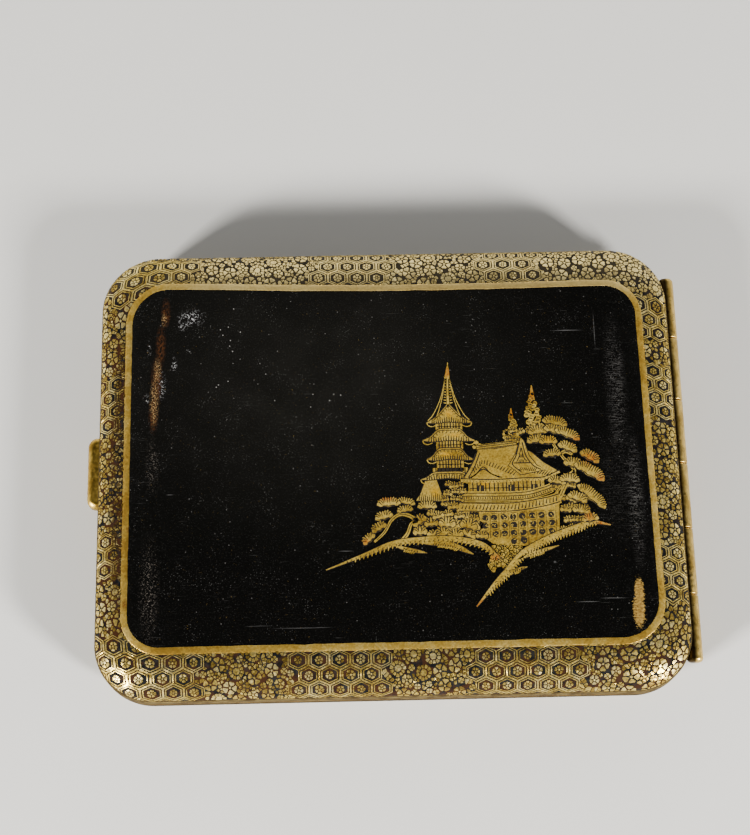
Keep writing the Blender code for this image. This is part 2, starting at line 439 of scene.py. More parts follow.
class Shader:
    """A material with short calls for the nodes that its colour and relief need."""

    def __init__(self, name, roughness, metallic, ior=1.5):
        self.material = bpy.data.materials.new(name)
        self.material.use_nodes = True
        self.nodes = self.material.node_tree.nodes
        self.surface = self.nodes["Principled BSDF"]
        for setting, value in (("Roughness", roughness), ("Metallic", metallic), ("IOR", ior)):
            self.give(setting, value)
        own = self.nodes.new("ShaderNodeTexCoord").outputs["Object"]
        in_mm = self.node("VectorMath", {0: own, "Scale": 1 / MM}, operation="SCALE")
        self.place = in_mm.outputs[0]
        self.x, self.y, self.z = self.node("SeparateXYZ", {0: self.place}).outputs

    def feed(self, target, value):
        """Set a socket to a number or colour, or link it."""
        if isinstance(value, (int, float, tuple)):
            target.default_value = value
        else:
            self.material.node_tree.links.new(value, target)

    def node(self, kind, inputs, **settings):
        """A new node, its inputs set or linked."""
        made = self.nodes.new("ShaderNode" + kind)
        for name, value in settings.items():
            setattr(made, name, value)
        for name, value in inputs.items():
            self.feed(made.inputs[name], value)
        return made

    def give(self, name, value):
        """Set or link one of the surface's own inputs."""
        self.feed(self.surface.inputs[name], value)

    def math(self, operation, *values):
        return self.node("Math", dict(enumerate(values)), operation=operation).outputs[0]

    def both(self, first, second):
        return self.math("MULTIPLY", first, second)

    def most(self, values):
        """The highest of some values."""
        highest = values[0]
        for value in values[1:]:
            highest = self.math("MAXIMUM", highest, value)
        return highest

    def noise(self, scale, detail=3.0, roughness=0.55, stretch=None, distortion=0.0):
        """Noise with features of about 1/scale mm, drawn finer along the axes of a stretch."""
        place = self.place
        if stretch:
            place = self.node("VectorMath", {0: place, 1: stretch}, operation="MULTIPLY").outputs[0]
        inputs = {"Scale": scale, "Detail": detail, "Roughness": roughness, "Distortion": distortion}
        return self.node("TexNoise", {"Vector": place, **inputs}).outputs["Fac"]

    def cells(self, scale, output="Distance"):
        return self.node("TexVoronoi", {"Vector": self.place, "Scale": scale}).outputs[output]

    def ramp(self, value, start, end, low=0.0, high=1.0):
        """Smooth step of a value from start to end, given as low to high."""
        inputs = {"Value": value, "From Min": start, "From Max": end, "To Min": low, "To Max": high}
        return self.node("MapRange", inputs, interpolation_type="SMOOTHSTEP").outputs["Result"]

    def mix(self, share, first, second):
        return self.node("Mix", {0: share, 6: first, 7: second}, data_type="RGBA").outputs[2]

    def spot(self, centre, half_size, soft):
        """1 inside an oval on the plan, falling to 0 at its edge."""
        across = self.math("DIVIDE", self.math("SUBTRACT", self.x, centre[0]), half_size[0])
        along = self.math("DIVIDE", self.math("SUBTRACT", self.y, centre[1]), half_size[1])
        square = self.math("MULTIPLY_ADD", along, along, self.both(across, across))
        return self.ramp(self.math("SQRT", square), 1.0, 1.0 - soft)

    def stained(self, colour, spots, soft, pattern, tint):
        """A colour with a tint in some spots, where the pattern is. A spot's third value is a strength."""
        for centre, half_size, *strength in spots:
            share = self.both(self.spot(centre, half_size, soft), pattern)
            for factor in strength:
                share = self.both(share, factor)
            colour = self.mix(share, colour, tint)
        return colour

    def finished(self, colour, roughness=None, relief=None, depth=0.0):
        """The material with its colour, roughness and relief, whose depth is in millimetres."""
        self.give("Base Color", colour)
        if roughness is not None:
            self.give("Roughness", roughness)
        if relief is not None:
            bump = self.node("Bump", {"Strength": 1.0, "Distance": depth * MM, "Height": relief})
            self.give("Normal", bump.outputs["Normal"])
        return self.material


# Marks on the lacquer: centre and half size in mm on the lid, and for some how strong they are
SCRATCHES = (
    ((40.6, -27.0), (3.4, 0.1)),
    ((35.5, -27.6), (2.6, 0.1)),
    ((-16.5, -31.3), (6.5, 0.1)),
    ((-24.5, -30.8), (3.0, 0.08)),
    ((39.8, 25.0), (0.1, 4.6)),
    ((34.6, 25.2), (3.8, 0.12)),
    ((-40.9, -5.8), (0.9, 0.07)),
    ((-8.5, -17.2), (1.8, 0.1)),
    ((29.8, -20.1), (0.3, 0.3)),
)
RIGHT_STREAKS = (
    ((43.2, 14.0), (2.6, 17.0), 0.3),
    ((45.6, -8.0), (2.0, 16.0), 0.34),
    ((42.5, -6.0), (5.0, 14.0), 0.08),
)
LEFT_DUST = (
    ((-44.6, -24.0), (2.4, 12.0), 0.4),
    ((-44.3, 0.0), (1.6, 7.0), 0.3),
)
BARE_PARTS = (
    ((45.0, -26.0), (1.4, 4.0)),
    ((44.7, -29.4), (1.7, 4.6)),
)

# The rubbed streak leans to the left as it comes forward. Red-brown parts, then the pale ones on them.
RUBBED_PARTS = (
    ((-42.1, 30.2), (1.1, 3.8)),
    ((-43.0, 23.5), (1.2, 5.2)),
    ((-43.7, 16.5), (1.4, 6.0)),
    ((-44.2, 10.0), (1.2, 4.6)),
)
PALE_PARTS = (
    ((-42.4, 28.9), (0.7, 1.7)),
    ((-43.6, 18.6), (1.0, 3.2)),
    ((-44.1, 12.4), (1.1, 5.6)),
)

# Where the white specks gather
DUSTY_PARTS = (
    ((-26.5, 20.5), (7.0, 6.5)),
    ((-29.5, 13.5), (6.0, 4.5)),
    ((-15.0, 12.5), (10.0, 3.5)),
    ((-29.0, 27.5), (5.0, 5.0)),
    ((-45.6, 13.2), (1.6, 2.6)),
)
SCUFFS = (
    ((-37.0, 29.2), (3.6, 2.0)),
    ((-38.8, 27.6), (1.2, 1.4)),
    ((-40.4, 19.8), (0.7, 1.8)),
    ((-37.8, 22.4), (0.8, 0.5)),
    ((-42.6, 15.8), (1.0, 3.4)),
    ((-45.2, 22.8), (0.5, 2.4)),
    ((-45.6, 13.2), (0.8, 1.2)),
)


def lacquer_material():
    """Worn black lacquer: paler towards the upper left, dust, scratches, rubbed streaks and a bare patch.
    """
    shader = Shader("black_lacquer", 0.22, 0.0, 1.3)
    both, mix, noise, ramp = shader.both, shader.mix, shader.noise, shader.ramp
    # Paler over a broad, uneven patch towards the upper left
    drift = ramp(noise(0.1, 4.0), 0.3, 0.7, 0.6, 1.0)
    film = both(shader.spot((-14.0, 18.0), (60.0, 42.0), 0.95), drift)
    colour = mix(film, rgb(0.0017, 0.0017, 0.0015), rgb(0.0072, 0.007, 0.006))

    grain = ramp(noise(3.5, 3.0, 0.7), 0.52, 0.75, 0.0, 0.022)
    colour = mix(grain, colour, rgb(0.4, 0.4, 0.38))
    dusty = shader.most([shader.spot(*part, 0.6) for part in DUSTY_PARTS])
    cell = shader.math("MULTIPLY_ADD", dusty, 0.16, shader.cells(0.9, "Color"))
    specks = both(ramp(shader.cells(0.9), 0.13, 0.06), ramp(cell, 0.66, 0.76))
    strength = shader.math("MULTIPLY_ADD", dusty, 0.3, 0.1)
    colour = mix(both(specks, strength), colour, rgb(0.75, 0.73, 0.7))
    clusters = ramp(noise(0.2, 3.0), 0.48, 0.66)
    fine_dust = both(ramp(shader.cells(2.3), 0.2, 0.08), clusters)
    colour = mix(both(fine_dust, 0.11), colour, rgb(0.6, 0.6, 0.58))

    hair = noise(1.0, 2.0, 0.5, stretch=(0.22, 9.0, 1.0), distortion=0.3)
    hairlines = both(ramp(hair, 0.68, 0.76), ramp(noise(0.12, 2.0), 0.48, 0.6))
    colour = mix(both(hairlines, 0.09), colour, rgb(0.5, 0.5, 0.48))
    broken = ramp(hair, 0.4, 0.6, 0.03, 0.16)
    colour = shader.stained(colour, SCRATCHES, 0.8, broken, rgb(0.5, 0.5, 0.5))

    red = ramp(noise(2.4, 5.0, 0.7, stretch=(1.6, 0.8, 1.0)), 0.42, 0.64)
    colour = shader.stained(colour, RUBBED_PARTS, 0.8, red, rgb(0.062, 0.023, 0.008))
    grains = ramp(noise(4.2, 4.0, 0.7), 0.49, 0.68)
    colour = shader.stained(colour, PALE_PARTS, 0.8, grains, rgb(0.46, 0.3, 0.13))
    scuffed = ramp(noise(2.4, 5.0, 0.75, distortion=0.5), 0.55, 0.63)
    colour = shader.stained(colour, SCUFFS, 0.8, scuffed, rgb(0.42, 0.42, 0.43))
    crumbs = ramp(noise(3.6, 4.0, 0.7), 0.55, 0.68)
    colour = shader.stained(colour, LEFT_DUST, 0.8, crumbs, rgb(0.32, 0.28, 0.24))
    scraped = ramp(noise(1.0, 4.0, 0.6, stretch=(0.6, 6.0, 1.0)), 0.54, 0.66, 0.0, 0.7)
    dusty_or_scraped = shader.most([crumbs, scraped])
    colour = shader.stained(colour, RIGHT_STREAKS, 0.9, dusty_or_scraped, rgb(0.3, 0.29, 0.28))

    worn = noise(2.4, 5.0, 0.75, stretch=(0.8, 1.5, 1.0))
    patch = shader.most([shader.spot(*part, 1.0) for part in BARE_PARTS])
    ragged = shader.math("MULTIPLY_ADD", worn, 1.5, shader.math("SUBTRACT", patch, 0.9))
    brass = mix(ramp(worn, 0.35, 0.65), rgb(0.1, 0.05, 0.01), rgb(0.34, 0.22, 0.055))
    colour = mix(ramp(ragged, 0.08, 0.3), colour, brass)
    gloss = ramp(noise(0.35, 5.0, 0.7), 0.3, 0.75, 0.14, 0.28)
    return shader.finished(colour, gloss, noise(1.2, 5.0, 0.6), 0.0015)


# Where the painted sheen on the gold starts along x from the left, and where it is full
SHEEN_START = -46.0
SHEEN_FULL = -30.0
GRIME_X = 0.5 - HALF_WIDTH + PANEL_INSET_X - LINE_WIDTH


def gold_material(name, tones, roughness, metallic, dirt=0.0, painted_sheen=0.0, flecks=0.0, tints=()):
    """Gold leaf whose leaves differ a little in tone.

    The painted sheen is a painted highlight: how far it pales towards the back. Flecks is how dark
    its small punch marks are, and tints are colours, each with the spots that it shows in.
    """
    deep, middle, pale = tones
    shader = Shader(name, roughness, metallic)
    both, mix, noise, ramp = shader.both, shader.mix, shader.noise, shader.ramp
    drift = ramp(noise(0.3, 4.0, 0.6), 0.3, 0.7, -0.3, 0.3)
    mottle = ramp(noise(2.2, 4.0, 0.65), 0.35, 0.65, -0.22, 0.22)
    own_tone = shader.node("Attribute", {}, attribute_name="tone").outputs["Fac"]
    shade = shader.math("ADD", own_tone, shader.math("ADD", drift, mottle))
    colour = mix(ramp(shade, 0.0, 0.5), deep, middle)
    colour = mix(ramp(shade, 0.5, 1.0), colour, pale)
    # Painted highlight: the gold paled towards the back, less at the left corner
    if painted_sheen:
        back = ramp(shader.y, HALF_DEPTH - 13.0, HALF_DEPTH - 6.0, 0.0, painted_sheen)
        back = both(back, ramp(shader.x, SHEEN_START, SHEEN_FULL))
        colour = mix(back, colour, rgb(1.0, 0.82, 0.38))
    for tint, spots in tints:
        uneven = ramp(noise(2.0, 4.0, 0.7), 0.4, 0.6, 0.35, 0.95)
        colour = shader.stained(colour, spots, 0.9, uneven, tint)
    if flecks:
        punched = ramp(noise(3.2, 4.0, 0.7), 0.53, 0.64, 0.0, flecks)
        colour = mix(punched, colour, rgb(0.04, 0.026, 0.012))
    dirt_noise = noise(1.6, 5.0, 0.7)
    on_left = shader.spot((GRIME_X, 0.0), (4.6, HALF_DEPTH - 2.0), 0.5)
    sides = ramp(shader.math("ABSOLUTE", shader.x), HALF_WIDTH - 8.0, HALF_WIDTH - 3.0, 0.25, 0.55)
    left_grime = both(ramp(dirt_noise, 0.36, 0.52), on_left)
    grime = shader.most([left_grime, both(ramp(dirt_noise, 0.44, 0.64), sides)])
    colour = mix(both(grime, dirt), colour, rgb(0.07, 0.036, 0.012))
    front_rim = ramp(shader.y, 4.0 - HALF_DEPTH, 0.8 - HALF_DEPTH, 0.0, 0.3)
    colour = mix(both(front_rim, dirt), colour, rgb(0.16, 0.11, 0.04))
    shader.give("Specular Tint", rgb(0.8, 0.7, 0.5))
    gloss = ramp(noise(2.5, 4.0), 0.3, 0.7, roughness - 0.06, roughness + 0.1)
    return shader.finished(colour, gloss, noise(3.0, 3.0, 0.5), 0.006)


def ground_material():
    """The dark ground between the gold, with a reddish patina towards the left and the front."""
    shader = Shader("pattern_ground", 0.5, 0.0, 1.18)
    both, mix, noise, ramp = shader.both, shader.mix, shader.noise, shader.ramp
    shader.give("Specular Tint", rgb(0.25, 0.2, 0.12))
    uneven = ramp(noise(0.8, 4.0), 0.4, 0.65)
    colour = mix(uneven, rgb(0.004, 0.005, 0.006), rgb(0.014, 0.014, 0.014))
    left_or_front = shader.most([ramp(shader.x, -30.0, -52.0), ramp(shader.y, -25.0, -42.0, 0.0, 0.8)])
    red_noise = ramp(noise(0.45, 5.0, 0.65), 0.42, 0.6)
    patina = both(shader.math("MULTIPLY_ADD", left_or_front, 0.8, 0.2), red_noise)
    colour = mix(patina, colour, rgb(0.035, 0.014, 0.006))
    lid_lip, base_lip = LID_RIM + PLAIN_LIP, BASE_RIM - PLAIN_LIP
    lip = both(
        ramp(shader.z, lid_lip, lid_lip - LIP_EDGE), ramp(shader.z, base_lip, base_lip + LIP_EDGE)
    )
    metal = mix(ramp(noise(0.5, 4.0), 0.35, 0.65), rgb(0.11, 0.08, 0.03), rgb(0.24, 0.185, 0.08))
    # Painted shade: the base's lip darker below the seam
    below = ramp(shader.z, SEAM + 0.1, SEAM - 0.1, 0.0, 0.6)
    metal = mix(below, metal, rgb(0.04, 0.028, 0.012))
    from_seam = shader.math("ABSOLUTE", shader.math("SUBTRACT", shader.z, SEAM))
    for height in LIP_LINES:
        from_line = shader.math("ABSOLUTE", shader.math("SUBTRACT", from_seam, height))
        line = ramp(from_line, LIP_LINE_HALF_WIDTH, LIP_LINE_HALF_WIDTH / 2, 0.0, 0.85)
        metal = mix(line, metal, rgb(0.035, 0.02, 0.008))
    # Painted sheen: the ground paler towards the back
    back = ramp(shader.y, HALF_DEPTH - 11.0, HALF_DEPTH - 3.0)
    colour = mix(back, colour, rgb(0.04, 0.033, 0.02))
    shader.give("Metallic", both(lip, 0.75))
    gloss = ramp(noise(1.0, 4.0), 0.3, 0.7, 0.38, 0.6)
    return shader.finished(mix(lip, colour, metal), gloss, noise(2.5, 4.0), 0.02)


def lining_material():
    """The plain gilt inside, brushed along the depth."""
    shader = Shader("gilt_lining", 0.32, 1.0)
    brushed = shader.noise(1.0, 4.0, 0.6, stretch=(6.0, 0.25, 1.0))
    colour = shader.mix(brushed, rgb(0.62, 0.42, 0.15), rgb(0.8, 0.6, 0.27))
    stain = shader.ramp(shader.noise(0.08, 4.0, 0.6), 0.5, 0.75, 0.0, 0.5)
    colour = shader.mix(stain, colour, rgb(0.4, 0.26, 0.1))
    return shader.finished(colour, shader.ramp(brushed, 0.3, 0.7, 0.26, 0.42), brushed, 0.01)


def brass_material(name, dark, light, roughness, shade_and_dirt_start=None):
    """Rubbed brass, with painted shade and dirt to the left of where they start."""
    shader = Shader(name, roughness, 1.0)
    noise, ramp = shader.noise, shader.ramp
    rubbed = noise(0.5, 5.0, 0.65, stretch=(1.0, 0.6, 1.0))
    colour = shader.mix(ramp(rubbed, 0.35, 0.65), dark, light)
    # Painted shade and dirt in the groove beside the case, on the barrel's side that faces it
    if shade_and_dirt_start is not None:
        dirt = ramp(shader.x, shade_and_dirt_start + 0.6, shade_and_dirt_start, 0.0, 0.95)
        colour = shader.mix(dirt, colour, rgb(0.03, 0.016, 0.006))
    gloss = ramp(noise(1.4, 4.0), 0.3, 0.7, roughness - 0.06, roughness + 0.14)
    return shader.finished(colour, gloss, noise(3.0, 4.0), 0.015)


def engraving_material():
    """Cut lines that show the dark ground through the gold."""
    shader = Shader("engraved_line", 0.6, 0.0, 1.3)
    dark, light = rgb(0.003, 0.003, 0.003), rgb(0.02, 0.014, 0.008)
    return shader.finished(shader.mix(shader.noise(1.5, 3.0), dark, light))


# Where the picture's gold is red: the tips of the spire, the trees and the slopes
WARM_SPOTS = (
    ((11.3, 17.2), (1.0, 1.6)),
    ((27.2, 12.4), (1.3, 2.3)),
    ((23.2, 8.7), (1.0, 1.5)),
    ((35.2, 3.2), (2.0, 1.6)),
    ((37.6, -0.5), (2.6, 2.0)),
    ((39.2, -4.3), (1.8, 1.6)),
    ((36.6, -11.6), (1.5, 1.2)),
    ((39.0, -13.0), (2.2, 1.0)),
    ((-4.8, -15.6), (1.2, 1.2)),
    ((-0.8, -7.4), (2.6, 0.8)),
    ((15.8, -27.4), (1.6, 1.8)),
    ((18.9, -19.0), (1.6, 1.0)),
)

# Where it is amber: the middle of the pagoda's roofs, where it also stands for a painted highlight, and a
# few cushions
AMBER_SPOTS = (
    ((12.4, 4.7), (1.7, 0.8)),
    ((10.4, 0.9), (1.8, 0.8)),
    ((11.4, 9.0), (1.3, 1.3)),
    ((8.2, -6.4), (1.2, 1.8)),
    ((30.2, 3.4), (2.2, 1.4)),
    ((17.6, -5.2), (1.6, 1.0)),
)
LINE_STAINS = (
    ((-49.0, -26.0), (0.9, 1.5)),
    ((-48.6, -12.0), (0.7, 1.0)),
)
HINGE_X = (pin_low.x + pin_high.x) / 2 / MM

LACQUER = lacquer_material()
GROUND = ground_material()
LINING = lining_material()
ENGRAVED = engraving_material()
# The pattern's gold and the line's gold both carry a painted sheen towards the back
PATTERN_GOLD = gold_material(
    "pattern_gold",
    (rgb(0.34, 0.22, 0.04), rgb(0.76, 0.56, 0.13), rgb(0.98, 0.8, 0.32)),
    0.28,
    0.9,
    dirt=0.95,
    painted_sheen=0.6,
)
LINE_GOLD = gold_material(
    "line_gold",
    (rgb(0.42, 0.24, 0.03), rgb(0.61, 0.39, 0.06), rgb(0.78, 0.56, 0.15)),
    0.36,
    0.8,
    dirt=0.3,
    painted_sheen=0.6,
    tints=((rgb(0.22, 0.07, 0.015), LINE_STAINS),),
)
PICTURE_GOLD = gold_material(
    "picture_gold",
    (rgb(0.32, 0.18, 0.016), rgb(0.62, 0.41, 0.055), rgb(0.86, 0.62, 0.13)),
    0.4,
    0.7,
    flecks=0.5,
    tints=((rgb(0.7, 0.2, 0.015), WARM_SPOTS), (rgb(0.92, 0.5, 0.01), AMBER_SPOTS)),
)
HINGE_BRASS = brass_material(
    "hinge_brass", rgb(0.46, 0.3, 0.07), rgb(0.78, 0.56, 0.17), 0.32, HINGE_X - 0.3
)
BUTTON_BRASS = brass_material("button_brass", rgb(0.36, 0.21, 0.03), rgb(0.7, 0.47, 0.09), 0.34)


# Shell skins

SKIN_CORNER_STEPS = 26
SKIN_SIDE_STEPS = 12
SKIN_SHOULDER_STEPS = 30
SHELL_SHARP = 35
FITTING_SHARP = 40

# The hinge, from the pin and the case
HINGE_LENGTH = (pin_high.y - pin_low.y) / MM
PIN_RADIUS = (pin_high.x - pin_low.x) / 2 / MM
PIN_STEPS = 24
PIN_SHORT = 0.04
BARREL_RADIUS = 1.5
BARREL_STEPS = 48
HINGE_CLEARANCE = 0.3
KNUCKLE_COUNT = 6
KNUCKLE_GAP = 0.22
KNUCKLE_ROUND = 0.18
BARREL_END_ROUND = 0.8
RIM_ANGLE = 1
AT_END = 0.01
LEAF_LENGTH = 2 * (HALF_DEPTH - CORNER_RADIUS)
LEAF_THICKNESS = 0.7
LEAF_LOW = 0.15
LEAF_HEIGHT = 1.9
LEAF_CLEARANCE = 0.4
WEB_LOW = 0.25
WEB_HIGH = 0.85
WEB_SHORT = 0.1
WEB_IN_LEAF = 0.3
WEB_IN_BARREL = 1.15

# The push bar
BUTTON_LENGTH = 14.0
BUTTON_HEIGHT = 3.0
BUTTON_SHIFT = (button_low.y + button_high.y) / 2 / MM
BUTTON_START = button_low.x / MM
BUTTON_CLEARANCE = 0.3
BUTTON_END_ROUND = 1.9
BUTTON_EDGE_ROUND = 1.1
FLANGE_GAP = 0.6
FLANGE_THICKNESS = 0.7
BAR_IN_FLANGE = 0.4
FLAT_NORMAL = 0.9

# How far the cuts for them reach past the wall
PASSAGE_PAST_WALL = 1
SLOT_OUTSIDE = 3
SLOT_INSIDE = 4


def skin_points():
    """Points of rings from the rim up to the edge of the flat, as in the solids but finer."""
    around = []
    for part in range(8):
        steps = SKIN_CORNER_STEPS if part % 2 else SKIN_SIDE_STEPS
        around += [part + step / steps for step in range(steps)]
    around = np.array(around)
    turns = [RIGHT_ANGLE * step / SKIN_SHOULDER_STEPS for step in range(SKIN_SHOULDER_STEPS + 1)]
    levels = [(0.0, 0.0), (0.0, LIP_HEIGHT / 2)]
    levels += [(1 - math.cos(turn), rise(1 - math.cos(turn))) for turn in turns]
    rings = []
    for inward, height in levels:
        plan = ring_points(around, *ring_size(inward))
        rings.append(np.column_stack([plan, np.full(len(plan), height)]))
    return rings


def apply_modifiers(piece):
    """Replace a piece's mesh by what its modifiers make of it."""
    graph = bpy.context.evaluated_depsgraph_get()
    made = bpy.data.meshes.new_from_object(piece.evaluated_get(graph))
    piece.modifiers.clear()
    piece.data = made


def cut_with(piece, name, builder):
    """Cut a hidden shape out of a piece and keep the result."""
    cutter = add_object(name, mesh_from(builder, name))
    modifier = piece.modifiers.new(name, "BOOLEAN")
    modifier.operation = "DIFFERENCE"
    modifier.solver = "EXACT"
    modifier.object = cutter
    apply_modifiers(piece)
    bpy.data.objects.remove(cutter, do_unlink=True)


def rod(builder, radius, length, y, segments=BARREL_STEPS):
    """A round rod along the hinge's axis, in millimetres, added to a bmesh in metres."""
    place = Matrix.Translation(Vector((HINGE_X, y, SEAM)) * MM)
    bmesh.ops.create_cone(
        builder,
        cap_ends=True,
        segments=segments,
        radius1=radius * MM,
        radius2=radius * MM,
        depth=length * MM,
        matrix=place @ Matrix.Rotation(RIGHT_ANGLE, 4, "X"),
    )


def block(builder, low, high):
    """A box between two corners, in millimetres, added to a bmesh in metres."""
    low = Vector(low) * MM
    high = Vector(high) * MM
    place = Matrix.Translation((low + high) / 2) @ Matrix.Diagonal((*(high - low), 1))
    bmesh.ops.create_cube(builder, size=1, matrix=place)


def make_shell_skin(name, side, body, node):
    """The pressed shell with its wall, gilt inside, cut for the hinge and the push bar."""
    rings = skin_points()
    size = len(rings[0])
    faces = band_faces(len(rings), size)
    faces.append(tuple(range((len(rings) - 1) * size, len(rings) * size)))
    mesh = mesh_of(name, np.concatenate(rings), faces, side)
    skin = finish_object(name, mesh, [GROUND, LINING], body)
    wall = skin.modifiers.new("wall", "SOLIDIFY")
    wall.thickness = WALL * MM
    wall.offset = -1
    wall.use_even_offset = True
    wall.material_offset = 1
    wall.material_offset_rim = 1
    apply_modifiers(skin)

    channel, passage, slot = bmesh.new(), bmesh.new(), bmesh.new()
    reach = HINGE_LENGTH + 2 * HINGE_CLEARANCE
    rod(channel, BARREL_RADIUS + HINGE_CLEARANCE, reach, 0)
    half_height = WEB_HIGH + HINGE_CLEARANCE
    block(
        passage,
        (HALF_WIDTH - WALL - PASSAGE_PAST_WALL, -reach / 2, SEAM - half_height),
        (HINGE_X, reach / 2, SEAM + half_height),
    )
    half_length = BUTTON_LENGTH / 2 + BUTTON_CLEARANCE
    half_height = BUTTON_HEIGHT / 2 + BUTTON_CLEARANCE
    block(
        slot,
        (-HALF_WIDTH - SLOT_OUTSIDE, BUTTON_SHIFT - half_length, SEAM - half_height),
        (-HALF_WIDTH + SLOT_INSIDE, BUTTON_SHIFT + half_length, SEAM + half_height),
    )
    for cut_name, cutter in (("channel", channel), ("passage", passage), ("slot", slot)):
        cut_with(skin, cut_name, cutter)
    stand_for(skin, node, SHELL_SHARP)


PANEL_STEPS = 40
PANEL_REACH = 11.0
PANEL_UNDER_LINE = 0.7
LEAST_PANEL_RADIUS = 1.5
PANEL_RADIUS_SHARE = 0.25


def make_panel(name, side, body):
    """The lacquered field inside the gold line, over the flat and part of the shoulder."""
    rings = []
    width, depth, radius = line_ring(-LINE_WIDTH * PANEL_UNDER_LINE)
    for step in range(PANEL_STEPS + 1):
        inset = PANEL_REACH * step / PANEL_STEPS
        corner = max(radius - inset * PANEL_RADIUS_SHARE, LEAST_PANEL_RADIUS)
        plan = ring_points(AROUND, width - inset, depth - inset, corner)
        plan = plan + LAID_SHIFT * (1 - step / PANEL_STEPS)
        rings.append(place_on_top(plan[:, 0], plan[:, 1], PANEL_RELIEF))
    size = len(AROUND)
    faces = band_faces(len(rings), size)
    faces.append(tuple(range(PANEL_STEPS * size, (PANEL_STEPS + 1) * size)))
    mesh = mesh_of(name, np.concatenate(rings), faces, side)
    finish_object(name, mesh, [LACQUER], body).data.shade_smooth()


# The gold line's section: distance out from its outer edge, and height
LINE_SECTION = (
    (-LINE_WIDTH - 0.04, -LAYER_SINK),
    (-LINE_WIDTH, LINE_RELIEF * 0.6),
    (-LINE_WIDTH + 0.12, LINE_RELIEF * 0.85),
    (-LINE_WIDTH / 2, LINE_RELIEF * 1.2),
    (-0.12, LINE_RELIEF * 0.85),
    (0.0, LINE_RELIEF * 0.6),
    (0.04, -LAYER_SINK),
)
INNER_EDGE_ROWS = 3
LINE_RIPPLE = 0.03
RIPPLE_SHIFT = 7
LINE_SEED = 11
LINE_TONE_SWING = 0.25
LINE_TONE_RATE = 5.0


def make_gold_line(name, side, body):
    """The plain gold line round the field: a flat band with soft, slightly uneven edges."""
    ripple = np.random.default_rng(LINE_SEED).normal(0, LINE_RIPPLE, len(AROUND))
    outward = ring_points(AROUND, *LINE_RING) - ring_points(AROUND, *line_ring(-1))
    rows = []
    for index, (out, relief) in enumerate(LINE_SECTION):
        offset = ripple if index < INNER_EDGE_ROWS else -np.roll(ripple, RIPPLE_SHIFT)
        plan = ring_points(AROUND, *line_ring(out)) + outward * offset[:, None]
        rows.append(SHOULDER.place(plan[:, 0], plan[:, 1], np.full(len(plan), relief)))
    mesh = mesh_of(name, np.concatenate(rows), band_faces(len(rows), len(AROUND)), side)
    set_tones(mesh, 0.5 + LINE_TONE_SWING * np.sin(np.tile(AROUND, len(rows)) * LINE_TONE_RATE))
    finish_object(name, mesh, [LINE_GOLD], body).data.shade_smooth()


# The border pattern

HEX_PITCH = 3.95
HEX_ROW = 2.8
HEX_FIRST_ROW = 0.7
NET_INNER = 0.91
RING_OUTER = 0.79
RING_INNER = 0.7
HEX_ROWS = 20
HEX_COLUMNS = 17
HEX_UNDER_LINE = -0.9
SIDES = 6

# Where hexagons lie: x and y ranges on the sheet
LID_HEXAGONS = [
    ((-54.0, -38.0), (33.0, 50.0)),
    ((-14.0, 1.5), (33.0, 50.0)),
    ((19.5, 31.5), (33.0, 50.0)),
    ((-62.0, -36.0), (-50.0, -33.0)),
    ((-18.0, -0.5), (-50.0, -33.0)),
    ((15.0, 36.0), (-50.0, -33.0)),
    ((-62.0, -49.0), (7.0, 20.0)),
    ((-62.0, -49.0), (-22.0, -12.0)),
    ((49.0, 62.0), (24.0, 33.0)),
    ((49.0, 62.0), (9.0, 18.0)),
    ((49.0, 62.0), (-30.0, -20.0)),
]
BASE_HEXAGONS = [
    ((-40.0, -22.0), (33.0, 50.0)),
    ((8.0, 28.0), (33.0, 50.0)),
    ((-30.0, -12.0), (-50.0, -33.0)),
    ((18.0, 40.0), (-50.0, -33.0)),
    ((-62.0, -49.0), (-12.0, 10.0)),
    ((49.0, 62.0), (-10.0, 12.0)),
]

# A petal's outline: share of the blossom's radius, and of the half angle that each petal has
PETAL = ((0.6, -0.72), (0.9, -0.82), (1.0, -0.4), (0.93, 0.0), (1.0, 0.4), (0.9, 0.82), (0.6, 0.72))
PETAL_OFF_HEART = 0.1
PETAL_REACH = (0.9, 1.05)
HEART_POINTS = 7
CELL_FLOWER_RADII = (0.75, 0.95)
CELL_FLOWER_HEART = 0.24

# Tones of the leaves, from dark 0 to pale 1, and how far they differ within a blossom or a cell
BLOSSOM_TONES = (0.2, 0.85)
CELL_TONES = (0.3, 0.8)
LEAF_TONES = (-0.1, 0.8)
PETAL_TONE_SPREAD = 0.18
CELL_TONE_SPREAD = 0.06
HEART_TONE = 0.2

# Radius, tries, petals and heart of the flowers between the hexagons, the largest first
FLOWERS = (
    (1.6, 400, 11, 0.42),
    (1.4, 6000, 5, 0.16),
    (1.05, 8000, 5, 0.2),
    (0.65, 9000, 4, 0.0),
)
LID_SEED = 5
BASE_SEED = 8
FILLER = 0.21
FILLER_TRIES = 60000
LEAF_GAPS = (0.08, 0.17)
LINE_OVERLAP = 0.12
BARE_SHARE = 0.1
SPLIT_SHARE = 0.3
SPLIT_GAP = 0.05
LEAF_TILT = 0.06
LEAF_DOME = 0.012
LONGEST_SIDE = 0.9
LEAST_LEAF_IN_GAPS = 1.6
BLOB_UNEVENNESS = 0.1
LARGEST_CELL = 3
HEX_BLOCK = 0.85
FLOWER_SHARE = 0.97
FLOWER_BLOCK = 0.8
EDGE_BLOCK_STEP = 0.02
EDGE_BLOCK_INSIDE = -0.5
BORDER_REACH = 12


def on_sheet(points):
    """Place around and distance out of sheet points."""
    x, y = points[:, 0], points[:, 1]
    return around_of(x, y, *LINE_RING), rounded_distance(x, y, *LINE_RING)


def hexagon(centre, scale):
    """A hexagon with two sides along y."""
    half = HEX_PITCH / 2 * scale
    tip = HEX_ROW * 2 / 3 * scale
    shoulder = tip / 2
    right = [(half, -shoulder), (half, shoulder), (0, tip)]
    return np.array(right + [(-half, shoulder), (-half, -shoulder), (0, -tip)]) + centre


